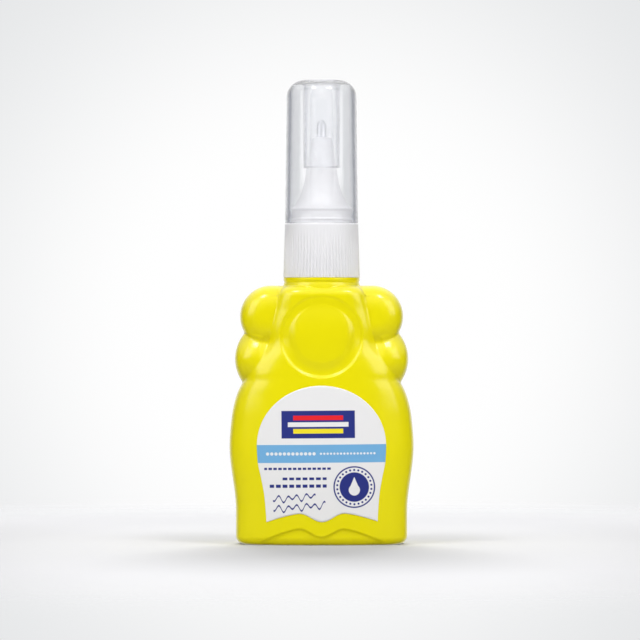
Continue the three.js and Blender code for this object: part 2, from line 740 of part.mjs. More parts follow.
const nozzle = new THREE.Group();
nozzle.add(
  piece("nozzle_collar", nozzleCollar(), 0xeeeef0, 0.45, 0),
  piece("metal_tip", metalTip(), 0xc4c6c9, 0.3, 1),
  piece("valve_needle", valveNeedle(), 0xa8abb0, 0.25, 1),
  piece("valve_spring", valveSpring(), 0xb4b7bb, 0.3, 1),
  piece("spring_retainer", springRetainer(), 0xd9d9d4, 0.6, 0),
);

const assembly = new THREE.Group();
assembly.add(bottle, nozzle, piece("cap", capSolid(), 0xeef0f3, 0.1, 0, 0.3));

export default assembly;
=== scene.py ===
"""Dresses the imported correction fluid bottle. Metres, +Z up, the main label faces -Y."""

import logging
import math
from dataclasses import dataclass
from enum import Enum
from typing import Callable, Mapping, Sequence, Union

import bpy
import numpy as np
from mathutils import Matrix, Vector


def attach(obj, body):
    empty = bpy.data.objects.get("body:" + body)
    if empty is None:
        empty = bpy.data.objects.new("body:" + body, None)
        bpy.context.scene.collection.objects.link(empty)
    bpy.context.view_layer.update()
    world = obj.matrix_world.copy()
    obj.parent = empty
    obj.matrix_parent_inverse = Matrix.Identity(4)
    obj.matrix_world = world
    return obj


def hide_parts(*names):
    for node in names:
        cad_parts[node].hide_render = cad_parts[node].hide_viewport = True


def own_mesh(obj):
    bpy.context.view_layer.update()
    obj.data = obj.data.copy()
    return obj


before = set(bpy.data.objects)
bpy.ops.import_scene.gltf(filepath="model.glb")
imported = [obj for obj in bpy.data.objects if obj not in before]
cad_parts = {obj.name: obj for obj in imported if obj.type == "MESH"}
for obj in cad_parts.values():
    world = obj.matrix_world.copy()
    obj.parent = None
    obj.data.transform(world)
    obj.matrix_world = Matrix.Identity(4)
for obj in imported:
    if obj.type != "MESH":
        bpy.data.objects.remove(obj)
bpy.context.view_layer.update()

MM = 0.001
FULL_TURN = 2 * math.pi
SEAM = 1e-7  # metres: points closer than this are one point
TINY = 1e-9  # keeps a division by zero away
HALVINGS = 40  # how often a search for a height halves its range
ARC_SHARE = 0.49  # the most of an edge that the arc at one of its ends takes
CREASE_DEG = 35.0  # edges that bend by more than this stay crisp
LABEL_TILT_DEG = 0.45  # the labels sit a little crooked
LABEL_PIVOT_Z = 18.6  # mm: the height that they are turned about

log = logging.getLogger("correction_bottle")

Number = Union[float, np.ndarray]
Colour = tuple[float, float, float]
Piece = bpy.types.Object
Material = bpy.types.Material
Socket = bpy.types.NodeSocket
Sockets = Mapping[Union[str, int], object]
Place = Callable[[np.ndarray, np.ndarray], np.ndarray]
Outline = Callable[[np.ndarray, np.ndarray], tuple[np.ndarray, np.ndarray]]


# Workshop: how a mesh is started, shaped and closed


def deselect() -> None:
    """Leave nothing selected, so that the next operator acts on its own piece only."""
    bpy.ops.object.select_all(action="DESELECT")


def settle(name: str, crease_deg: float = CREASE_DEG) -> Piece:
    """Close the seams of the piece in edit mode and finish it as an object at the origin.

    Args:
        name: The name of the finished piece.
        crease_deg: Edges that bend by more than this stay crisp.

    Returns:
        The finished object, unturned and unscaled, with its place in its mesh.
    """
    bpy.ops.mesh.select_all(action="SELECT")
    bpy.ops.mesh.remove_doubles(threshold=SEAM)
    bpy.ops.mesh.normals_make_consistent(inside=False)
    bpy.ops.object.mode_set(mode="OBJECT")
    bpy.ops.object.transform_apply(location=True, rotation=True, scale=True)
    bpy.ops.object.shade_smooth_by_angle(angle=math.radians(crease_deg))
    piece = bpy.context.object
    piece.name = name
    piece.data.name = name
    return piece


@dataclass(frozen=True)
class Corner:
    """A corner of a half profile: its radius and height in mm and the fillet that rounds it."""

    radius: float
    height: float
    fillet: float = 0.0


def rounded(corners: Sequence[Corner], closed: bool, step_deg: float = 13.0) -> list[tuple[float, float]]:
    """Turn a profile of corners into points, with an arc at each corner that has a fillet.

    Args:
        corners: The profile's corners in order.
        closed: Whether the last corner joins the first.
        step_deg: The most that the profile bends from one flat to the next.

    Returns:
        The points as (radius, height) pairs in mm, the first repeated at the end if closed.
    """
    points: list[tuple[float, float]] = []
    count = len(corners)
    for i, corner in enumerate(corners):
        here = Vector((corner.radius, corner.height))
        is_end = not closed and i in (0, count - 1)
        if corner.fillet <= 0 or is_end:
            points.append(tuple(here))
            continue
        before = corners[i - 1]
        after = corners[(i + 1) % count]
        back = Vector((before.radius, before.height)) - here
        ahead = Vector((after.radius, after.height)) - here
        opening = back.angle(ahead)
        turn = math.pi - opening
        reach = min(corner.fillet / math.tan(opening / 2), ARC_SHARE * back.length, ARC_SHARE * ahead.length)
        radius = reach * math.tan(opening / 2)
        middle = here + (back.normalized() + ahead.normalized()).normalized() * (radius / math.sin(opening / 2))
        start = here + back.normalized() * reach - middle
        end = here + ahead.normalized() * reach - middle
        steps = max(2, math.ceil(math.degrees(turn) / step_deg))
        for k in range(steps + 1):
            angle = turn * k / steps
            arm = (start * math.sin(turn - angle) + end * math.sin(angle)) / math.sin(turn)
            points.append(tuple(middle + arm))
    if closed:
        points.append(points[0])
    return points


def turned(name: str, profile: Sequence[tuple[float, float]], segments: int) -> Piece:
    """Draw a half profile point by point and spin it about the Z axis.

    Args:
        name: The name of the piece.
        profile: (radius, height) pairs in mm.
        segments: How many steps the full turn has.

    Returns:
        The closed round piece.
    """
    deselect()
    radius, height = profile[0]
    bpy.ops.mesh.primitive_plane_add(size=MM, location=(radius * MM, 0, height * MM))
    bpy.ops.object.mode_set(mode="EDIT")
    bpy.ops.mesh.merge(type="CENTER")
    for (r0, z0), (r1, z1) in zip(profile, profile[1:]):
        step = ((r1 - r0) * MM, 0, (z1 - z0) * MM)
        bpy.ops.mesh.extrude_vertices_move(TRANSFORM_OT_translate={"value": step})
    bpy.ops.mesh.select_all(action="SELECT")
    bpy.ops.mesh.spin(steps=segments, angle=FULL_TURN, center=(0, 0, 0), axis=(0, 0, 1))
    return settle(name)


def reshape(piece: Piece, move: Callable[[np.ndarray], np.ndarray]) -> None:
    """Move the points of a piece.

    Args:
        piece: The piece.
        move: Takes its points in mm, as an array of triples, and returns them moved.
    """
    mesh = piece.data
    points = np.empty(len(mesh.vertices) * 3)
    mesh.vertices.foreach_get("co", points)
    mesh.vertices.foreach_set("co", (move(points.reshape(-1, 3) / MM) * MM).ravel())
    mesh.update()


def moulded(name: str, columns: int, rows: int, place: Place, crease_deg: float = CREASE_DEG) -> Piece:
    """Lay a grid over a form and close it where its sides meet.

    Args:
        name: The name of the piece.
        columns: How many cells the grid has along its first side.
        rows: How many cells it has along its second side.
        place: Gives the points in mm, as an array of triples, for column and row numbers.
        crease_deg: Edges that bend by more than this stay crisp.

    Returns:
        The finished piece.
    """
    deselect()
    bpy.ops.mesh.primitive_grid_add(x_subdivisions=columns, y_subdivisions=rows, size=2 * MM)

    def lay(points: np.ndarray) -> np.ndarray:
        """Where the points of the flat grid go."""
        cells = np.rint((points[:, :2] + 1) / 2 * [columns, rows]).astype(int)
        return place(cells[:, 0], cells[:, 1])

    reshape(bpy.context.object, lay)
    bpy.ops.object.mode_set(mode="EDIT")
    return settle(name, crease_deg)


def triples(x: Number, y: Number, z: Number) -> np.ndarray:
    """Points as an array of triples."""
    return np.stack(np.broadcast_arrays(x, y, z), axis=1)


def polar(radius: Number, angle: Number, z: Number) -> np.ndarray:
    """Points as an array of triples, from where they are about the Z axis."""
    return triples(radius * np.cos(angle), radius * np.sin(angle), z)


def capped(piece: Piece) -> Piece:
    """Close the open ends of a tube-like piece and turn its faces outwards.

    Args:
        piece: The piece with open ends.

    Returns:
        The same piece, closed.
    """
    deselect()
    piece.select_set(True)
    bpy.context.view_layer.objects.active = piece
    bpy.ops.object.mode_set(mode="EDIT")
    bpy.ops.mesh.select_all(action="DESELECT")
    bpy.ops.mesh.select_non_manifold()
    bpy.ops.mesh.fill_holes(sides=0)
    bpy.ops.mesh.select_all(action="SELECT")
    return settle(piece.name)


def finish_piece(piece: Piece, material: Material, body: str, node: str) -> None:
    """Give a piece its material and its place in the frame.

    Args:
        piece: The finished piece.
        material: Its material.
        body: The body that it rides on.
        node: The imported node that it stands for.
    """
    piece.data.materials.clear()
    piece.data.materials.append(material)
    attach(piece, body)
    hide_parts(node)
    log.info("%s: %d faces, rides on %s, stands for %s", piece.name, len(piece.data.polygons), body, node)


def wound(name: str, around: int, section: int, turns: float, outline: Outline) -> Piece:
    """Wind a ridge or a wire round the Z axis and close its ends.

    Args:
        name: The name of the piece.
        around: How many steps it has along its way.
        section: How many sides its cross-section has.
        turns: How often it goes round the axis.
        outline: Gives radii and heights in mm for the share of the way and the turn round the section.

    Returns:
        The closed piece.
    """

    def place(column: np.ndarray, row: np.ndarray) -> np.ndarray:
        """Points of its skin.

        Args:
            column: Numbers of the sides of the section.
            row: Numbers of the steps of the way.

        Returns:
            The points in mm, as an array of triples.
        """
        share = row / around
        radius, height = outline(share, column / section * FULL_TURN)
        return polar(radius, share * turns * FULL_TURN, height)

    return capped(moulded(name, section, around, place))


@dataclass(frozen=True)
class Thread:
    """The ridge of a screw thread, run out at both ends. Sizes in mm."""

    root: float
    crest: float
    start: float
    pitch: float = 3.0
    turns: float = 1.5
    width: float = 1.2
    run_out: float = 0.09
    steepness: float = 1.6
    flat: float = 0.3
    around: int = 108
    section: int = 8

    def outline(self, share: np.ndarray, turn: np.ndarray) -> tuple[np.ndarray, np.ndarray]:
        """Radii and heights of the ridge for its way round and its section.

        Args:
            share: The share of the way round, from 0 to 1.
            turn: The turn round the section, in radians.

        Returns:
            Radii and heights in mm.
        """
        fade = smooth_step(np.minimum(share, 1 - share), 0.0, self.run_out)
        lift = np.clip(np.cos(turn) * self.steepness + self.flat, 0, 1)
        rise = np.sin(turn) * self.width / 2 * (0.3 + 0.7 * fade)
        radius = self.root + (self.crest - self.root) * lift * fade
        return radius, self.start + self.pitch * self.turns * share + rise

    def make(self, name: str) -> Piece:
        """Wind the ridge."""
        return wound(name, self.around, self.section, self.turns, self.outline)


def smooth_step(value: Number, low: float, high: float) -> Number:
    """Rise softly from 0 at low to 1 at high."""
    t = np.clip((value - low) / (high - low), 0.0, 1.0)
    return t * t * (3 - 2 * t)


# Shader maths


class Signal:
    """A number that varies over a surface; arithmetic on it adds Math nodes."""

    def __init__(self, graph: "Graph", socket: Socket) -> None:
        """Wrap an output socket of a graph."""
        self.graph = graph
        self.socket = socket

    def __add__(self, other: "Value") -> "Signal":
        """Sum."""
        return self.graph.math("ADD", self, other)

    def __radd__(self, other: "Value") -> "Signal":
        """Sum the other way round."""
        return self + other

    def __sub__(self, other: "Value") -> "Signal":
        """Difference."""
        return self.graph.math("SUBTRACT", self, other)

    def __rsub__(self, other: "Value") -> "Signal":
        """Difference the other way round."""
        return self.graph.math("SUBTRACT", other, self)

    def __mul__(self, other: "Value") -> "Signal":
        """Product."""
        return self.graph.math("MULTIPLY", self, other)

    def __rmul__(self, other: "Value") -> "Signal":
        """Product the other way round."""
        return self * other

    def __truediv__(self, other: "Value") -> "Signal":
        """Quotient."""
        return self.graph.math("DIVIDE", self, other)

    def __rtruediv__(self, other: "Value") -> "Signal":
        """Quotient the other way round."""
        return self.graph.math("DIVIDE", other, self)

    def __abs__(self) -> "Signal":
        """Size without the sign."""
        return self.graph.math("ABSOLUTE", self)

    def __neg__(self) -> "Signal":
        """The negative."""
        return self * -1


Value = Union[Signal, Socket, float]
Marks = list[tuple[Signal, Colour]]


class Graph:
    """The nodes of one material or world."""

    def __init__(self, tree: bpy.types.NodeTree) -> None:
        """Start with an empty tree."""
        self.tree = tree
        self.tree.nodes.clear()

    def node(self, kind: str, settings: Mapping[str, object], sockets: Sockets) -> bpy.types.Node:
        """Add a node.

        Args:
            kind: The node's type.
            settings: Its own settings, which are set first.
            sockets: Values or links for its input sockets, by name or number.

        Returns:
            The new node.
        """
        made = self.tree.nodes.new(kind)
        for key, value in settings.items():
            setattr(made, key, value)
        for key, value in sockets.items():
            if isinstance(value, Signal):
                value = value.socket
            if isinstance(value, Socket):
                self.tree.links.new(value, made.inputs[key])
            else:
                made.inputs[key].default_value = value
        return made

    def math(self, operation: str, *values: Value) -> Signal:
        """Work out a number from numbers by one Math node."""
        sockets = dict(enumerate(values))
        return Signal(self, self.node("ShaderNodeMath", {"operation": operation}, sockets).outputs[0])

    def smooth(self, value: Value, low: float, high: float) -> Signal:
        """Rise softly from 0 to 1 as the value goes from low to high.

        Args:
            value: The value.
            low: Where the rise starts.
            high: Where it ends.

        Returns:
            The risen share.
        """
        settings = {"interpolation_type": "SMOOTHSTEP"}
        sockets = {"Value": value, "From Min": low, "From Max": high}
        return Signal(self, self.node("ShaderNodeMapRange", settings, sockets).outputs[0])

    def length(self, first: Signal, second: Signal) -> Signal:
        """How far apart two places are, from their distances along two axes."""
        return self.math("SQRT", first * first + second * second)

    def parts(self, kind: str) -> list[Signal]:
        """The three parts of one of the texture coordinates."""
        spot = self.node("ShaderNodeTexCoord", {}, {}).outputs[kind]
        return [Signal(self, part) for part in self.node("ShaderNodeSeparateXYZ", {}, {0: spot}).outputs]

    def position(self) -> list[Signal]:
        """The point's place on the object, in mm."""
        return [part * (1 / MM) for part in self.parts("Object")]

    def noise(self, grain: float, detail: float = 2.0, stretch: Colour = (1.0, 1.0, 1.0)) -> Signal:
        """Soft random variation from 0 to 1.

        Args:
            grain: The size of its spots in mm.
            detail: How many finer layers it has.
            stretch: How much closer the spots lie along each axis.

        Returns:
            The variation.
        """
        spot = self.node("ShaderNodeTexCoord", {}, {}).outputs["Object"]
        scaled = self.node("ShaderNodeMapping", {}, {0: spot, "Scale": stretch}).outputs[0]
        sockets = {"Vector": scaled, "Scale": 1 / (grain * MM), "Detail": detail}
        return Signal(self, self.node("ShaderNodeTexNoise", {}, sockets).outputs[0])

    def blend(self, share: Value, first: object, second: object) -> Socket:
        """Mix two colours.

        Args:
            share: How much of the second shows, from 0 to 1.
            first: A colour or a link.
            second: A colour or a link.

        Returns:
            The mixed colour.
        """
        parts = [(*part, 1.0) if isinstance(part, tuple) else part for part in (first, second)]
        sockets = {0: share, 6: parts[0], 7: parts[1]}
        return self.node("ShaderNodeMix", {"data_type": "RGBA"}, sockets).outputs[2]

    def relief(self, height: Signal, strength: float, depth: float, under: object = None) -> Socket:
        """Bend the light as on a surface with fine relief.

        Args:
            height: The relief, from 0 to 1.
            strength: How much of it shows.
            depth: How deep it is, in mm.
            under: The normal of a coarser relief under it.

        Returns:
            The new normal.
        """
        sockets: dict[str, object] = {"Strength": strength, "Distance": depth * MM, "Height": height}
        if under is not None:
            sockets["Normal"] = under
        return self.node("ShaderNodeBump", {}, sockets).outputs[0]

    def plastic(self, sockets: Sockets) -> Socket:
        """The main surface shader with the given sockets."""
        return self.node("ShaderNodeBsdfPrincipled", {}, sockets).outputs[0]

    def surface(self, shader: Socket) -> None:
        """Use a shader as the material's surface."""
        self.node("ShaderNodeOutputMaterial", {}, {"Surface": shader})


def material_graph(name: str) -> tuple[Material, Graph]:
    """Make an empty material and its graph.

    Args:
        name: The name of the material.

    Returns:
        The material and its graph.
    """
    material = bpy.data.materials.new(name)
    material.use_nodes = True
    return material, Graph(material.node_tree)


# Finishes


@dataclass(frozen=True)
class MouldedYellow:
    """Blow-moulded yellow polyethylene, semi-gloss, with a faint parting line at its sides."""

    colour: Colour = (0.79, 0.705, 0.0)
    deep: Colour = (0.78, 0.68, 0.0)
    roughness: float = 0.34
    parting_width: float = 0.16

    def make(self) -> Material:
        """Build the material.

        Returns:
            The material.
        """
        material, graph = material_graph("moulded_yellow")
        _, y, _ = graph.position()
        cloud = graph.noise(14.0, 3.0)
        grain = graph.noise(0.9, 2.0)
        colour = graph.blend(graph.smooth(cloud, 0.35, 0.75) * 0.5, self.colour, self.deep)
        ripple = graph.relief(graph.noise(9.0, 1.0), 0.10, 0.10)
        parting = 1 - graph.smooth(abs(y), self.parting_width / 2, self.parting_width)
        seam = graph.relief(parting, 0.5, 0.05, ripple)
        fine = graph.relief(grain, 0.02, 0.01, seam)
        graph.surface(graph.plastic({
            "Base Color": colour,
            "Roughness": (grain - 0.5) * 0.06 + self.roughness + parting * 0.12,
            "Normal": fine,
            "IOR": 1.5,
            "Specular IOR Level": 0.25,
            "Specular Tint": (1.0, 0.9, 0.4, 1.0),
            "Coat Weight": 0.9,
            "Coat Roughness": 0.19,
        }))
        return material


@dataclass(frozen=True)
class WhitePlastic:
    """Injection-moulded white polypropylene with a satin face and a little grain."""

    name: str = "white_polypropylene"
    colour: Colour = (0.77, 0.765, 0.78)
    shade: Colour = (0.755, 0.75, 0.765)
    roughness: float = 0.38
    grain: float = 0.6

    def make(self) -> Material:
        """Build the material.

        Returns:
            The material.
        """
        material, graph = material_graph(self.name)
        cloud = graph.noise(5.0, 2.0)
        grain = graph.noise(self.grain, 3.0)
        graph.surface(graph.plastic({
            "Base Color": graph.blend(graph.smooth(cloud, 0.3, 0.8) * 0.5, self.colour, self.shade),
            "Roughness": (grain - 0.5) * 0.06 + self.roughness,
            "Normal": graph.relief(grain, 0.03, 0.006),
            "IOR": 1.49,
        }))
        return material


@dataclass(frozen=True)
class ClearPlastic:
    """Clear glossy moulded plastic with a faint milky haze; light passes through to what is inside."""

    tint: Colour = (0.972, 0.975, 0.98)
    cloudy: Colour = (0.955, 0.958, 0.967)
    passing: Colour = (0.97, 0.972, 0.98)
    clearness: float = 0.90
    ior: float = 1.49

    def make(self) -> Material:
        """Build the material.

        Returns:
            The material.
        """
        material, graph = material_graph("clear_plastic")
        flow = graph.noise(7.0, 1.0, (1.0, 1.0, 0.25))
        smudge = graph.noise(9.0, 3.0)
        clear = graph.plastic({
            "Base Color": graph.blend(graph.smooth(smudge, 0.4, 0.8) * 0.5, self.tint, self.cloudy),
            "Roughness": graph.smooth(smudge, 0.45, 0.8) * 0.04 + 0.09,
            "Normal": graph.relief(flow, 0.01, 0.02),
            "IOR": self.ior,
            "Transmission Weight": self.clearness,
        })
        passing = graph.node("ShaderNodeBsdfTransparent", {}, {"Color": (*self.passing, 1.0)}).outputs[0]
        rays = graph.node("ShaderNodeLightPath", {}, {}).outputs
        lit = graph.math("MAXIMUM", rays["Is Shadow Ray"], rays["Is Diffuse Ray"])
        graph.surface(graph.node("ShaderNodeMixShader", {}, {0: lit, 1: clear, 2: passing}).outputs[0])
        return material


class SteelWork(Enum):
    """How a steel piece was finished."""

    TURNED = "turned_steel"
    POLISHED = "polished_steel"
    DRAWN = "drawn_steel"


@dataclass(frozen=True)
class Steel:
    """Stainless steel, turned on a lathe, polished or drawn to wire."""

    work: SteelWork
    colour: Colour = (0.72, 0.725, 0.74)
    stained: Colour = (0.60, 0.60, 0.61)

    def make(self) -> Material:
        """Build the material.

        Returns:
            The material.
        """
        material, graph = material_graph(self.work.value)
        roughness, stretch = {
            SteelWork.TURNED: (0.27, (0.6, 0.6, 14.0)),
            SteelWork.POLISHED: (0.12, (1.0, 1.0, 1.0)),
            SteelWork.DRAWN: (0.22, (5.0, 5.0, 1.0)),
        }[self.work]
        marks = graph.noise(0.8, 3.0, stretch)
        stain = graph.noise(1.6, 2.0)
        graph.surface(graph.plastic({
            "Base Color": graph.blend(stain * 0.5, self.colour, self.stained),
            "Metallic": 1.0,
            "Roughness": (marks - 0.5) * 0.18 + roughness,
            "Normal": graph.relief(marks, 0.12, 0.01),
        }))
        return material


@dataclass(frozen=True)
class SealFoam:
    """Matt closed-cell foam."""

    colour: Colour = (0.70, 0.69, 0.65)

    def make(self) -> Material:
        """Build the material.

        Returns:
            The material.
        """
        material, graph = material_graph("seal_foam")
        cells = graph.noise(0.18, 3.0)
        graph.surface(graph.plastic({
            "Base Color": graph.blend(cells, self.colour, (0.58, 0.57, 0.53)),
            "Roughness": (cells - 0.5) * 0.2 + 0.85,
            "Normal": graph.relief(cells, 0.4, 0.05),
        }))
        return material


class Side(Enum):
    """The two sides of the bottle; the value is the sign of Y that the side faces."""

    FRONT = -1
    BACK = 1


@dataclass(frozen=True)
class Sheet:
    """A printed surface with its places across and up in mm, and the masks of the marks on it."""

    graph: Graph
    x: Signal
    z: Signal
    edge: float = 0.07

    def within(self, value: Signal, limit: float) -> Signal:
        """1 where the value is under the limit, with a soft edge."""
        return 1 - self.graph.smooth(value, limit - self.edge, limit + self.edge)

    def bar(self, mid_x: float, mid_z: float, half_x: float, half_z: float) -> Signal:
        """A plain bar with its middle and half sizes."""
        return self.within(abs(self.x - mid_x), half_x) * self.within(abs(self.z - mid_z), half_z)

    def dashes(self, pitch: float, share: float) -> Signal:
        """Dashes along x, each taking its share of the pitch."""
        place = self.graph.math("FRACT", self.x / pitch + 100.0)
        return 1 - self.graph.smooth(abs(place - 0.5), share / 2 - 0.04, share / 2 + 0.04)

    def stroke(self, start: float, end: float, height: float) -> Signal:
        """A thin wavy pen line between two places, climbing a little to the right.

        Args:
            start: Where it starts along x.
            end: Where it ends along x.
            height: How high it is where x is 0.

        Returns:
            Its mask.
        """
        wave = self.graph.math("SINE", self.x * 3.1) * 0.55 + self.graph.math("SINE", self.x * 1.7) * 0.3
        line = 1 - self.graph.smooth(abs(self.z - (wave + self.x * 0.08 + height)), 0.12, 0.30)
        return line * self.within(abs(self.x - (start + end) / 2), (end - start) / 2)


@dataclass(frozen=True)
class PrintedFilm:
    """White label film with a blue stripe and plain printed marks without any lettering."""

    side: Side
    paper: Colour = (0.76, 0.755, 0.755)
    stripe: Colour = (0.155, 0.395, 0.66)
    navy: Colour = (0.018, 0.028, 0.205)
    red: Colour = (0.76, 0.012, 0.02)
    yellow: Colour = (0.83, 0.70, 0.02)
    stripe_z: float = 20.7
    stripe_half: float = 2.03

    def make(self) -> Material:
        """Build the material.

        Returns:
            The material.
        """
        material, graph = material_graph(f"printed_film_{self.side.name.lower()}")
        x, _, z = graph.position()
        if self.side is Side.BACK:
            x = -x
        tilt = math.radians(LABEL_TILT_DEG)
        lift = z - LABEL_PIVOT_Z
        across = x * math.cos(tilt) + lift * math.sin(tilt)
        up = lift * math.cos(tilt) - x * math.sin(tilt) + LABEL_PIVOT_Z
        sheet = Sheet(graph, across, up)
        colour = graph.blend(sheet.within(abs(up - self.stripe_z), self.stripe_half), self.paper, self.stripe)
        marks = self._front_marks(sheet) if self.side is Side.FRONT else self._back_marks(sheet)
        for mask, ink in marks:
            colour = graph.blend(mask, colour, ink)
        weave = graph.noise(0.7, 2.0)
        graph.surface(graph.plastic({
            "Base Color": colour,
            "Roughness": (weave - 0.5) * 0.08 + 0.42,
            "Normal": graph.relief(weave, 0.05, 0.01),
            "IOR": 1.45,
        }))
        return material

    def _front_marks(self, sheet: Sheet) -> Marks:
        """The printed marks of the front label, from the lowest layer up.

        Args:
            sheet: The printed face of the label.

        Returns:
            The mask and the ink of each mark.
        """
        bars = [
            (27.26, 8.25, 3.10, self.navy), (28.75, 5.6, 0.52, self.red),
            (27.26, 6.8, 0.52, self.paper), (25.77, 5.6, 0.52, self.yellow),
        ]
        marks = [(sheet.bar(-0.70, height, half, thick), ink) for height, half, thick, ink in bars]
        for start, end, pitch, radius in [(-12.6, -1.2, 0.95, 0.36), (-0.5, 12.25, 0.75, 0.24)]:
            place = (sheet.graph.math("FRACT", (sheet.x - start) / pitch) - 0.5) * pitch
            dot = sheet.within(sheet.graph.length(place, sheet.z - self.stripe_z), radius)
            row = sheet.bar((start + end) / 2, self.stripe_z, (end - start) / 2, 1.5)
            marks.append((dot * row, self.paper))
        rules = [(-5.4, 17.35, 7.5, 0.26, 1.1), (-3.9, 15.1, 5.0, 0.30, 1.5), (-5.3, 13.45, 6.4, 0.36, 1.5)]
        for *place, pitch in rules:
            marks.append((sheet.bar(*place) * sheet.dashes(pitch, 0.72), self.navy))
        for start, end, height in [(-11.0, -1.4, 11.3), (-10.9, 0.8, 9.1)]:
            marks.append((sheet.stroke(start, end, height), self.navy))
        return marks + self._badge(sheet)

    def _badge(self, sheet: Sheet) -> Marks:
        """A round mark: a ring, a circle of dots and a plain drop on a dark spot.

        Args:
            sheet: The printed face of the label.

        Returns:
            The mask and the ink of each mark, from the lowest layer up.
        """
        graph, dots, dots_radius = sheet.graph, 26, 3.85
        x, z = sheet.x - 7.3, sheet.z - 13.15
        distance = graph.length(x, z)
        ring = sheet.within(distance, 4.70) - sheet.within(distance, 4.38)
        angle = graph.math("ARCTAN2", z, x) * (dots / FULL_TURN)
        spoke = (graph.math("FRACT", angle + 100.0) - 0.5) * (FULL_TURN * dots_radius / dots)
        dot = sheet.within(graph.length(spoke, distance - dots_radius), 0.24)
        bulb = sheet.within(graph.length(x, z + 0.65), 1.25)
        inside = sheet.within(abs(x) - (2.3 - z) * 0.42, 0.0)
        cone = inside * graph.smooth(z, -0.45, -0.3) * (1 - graph.smooth(z, 2.2, 2.3))
        dark = [(mask, self.navy) for mask in (ring, dot, sheet.within(distance, 3.31))]
        return dark + [(graph.math("MAXIMUM", bulb, cone), self.paper)]

    def _back_marks(self, sheet: Sheet) -> Marks:
        """The printed marks of the back label: plain rules in two blocks.

        Args:
            sheet: The printed face of the label.

        Returns:
            The mask and the ink of each mark, from the lowest layer up.
        """
        rules = [(29.6, 5.2, 0.45, 1.7), (27.4, 8.4, 0.2, 1.7), (26.0, 9.4, 0.2, 1.7), (24.6, 10.2, 0.2, 1.7)]
        rules += [(17.0 - 1.35 * i, 10.6 - 0.9 * (i % 3), 0.18, 1.3 + 0.2 * (i % 2)) for i in range(7)]
        return [(sheet.bar(0.0, *place) * sheet.dashes(pitch, 0.8), self.navy) for *place, pitch in rules]


# The bottle


@dataclass(frozen=True)
class Lobe:
    """A flattened round pad at the side, in mm; it may be softer at its foot and lower at its crest."""

    radius: float
    middle_x: float
    middle_z: float
    half_depth: float
    foot_softness: float = 0.0
    foot_reach: float = 7.0
    crest_z: float = 99.0
    crest_drop: float = 0.0
    crest_span: tuple = (-6.4, 1.0)


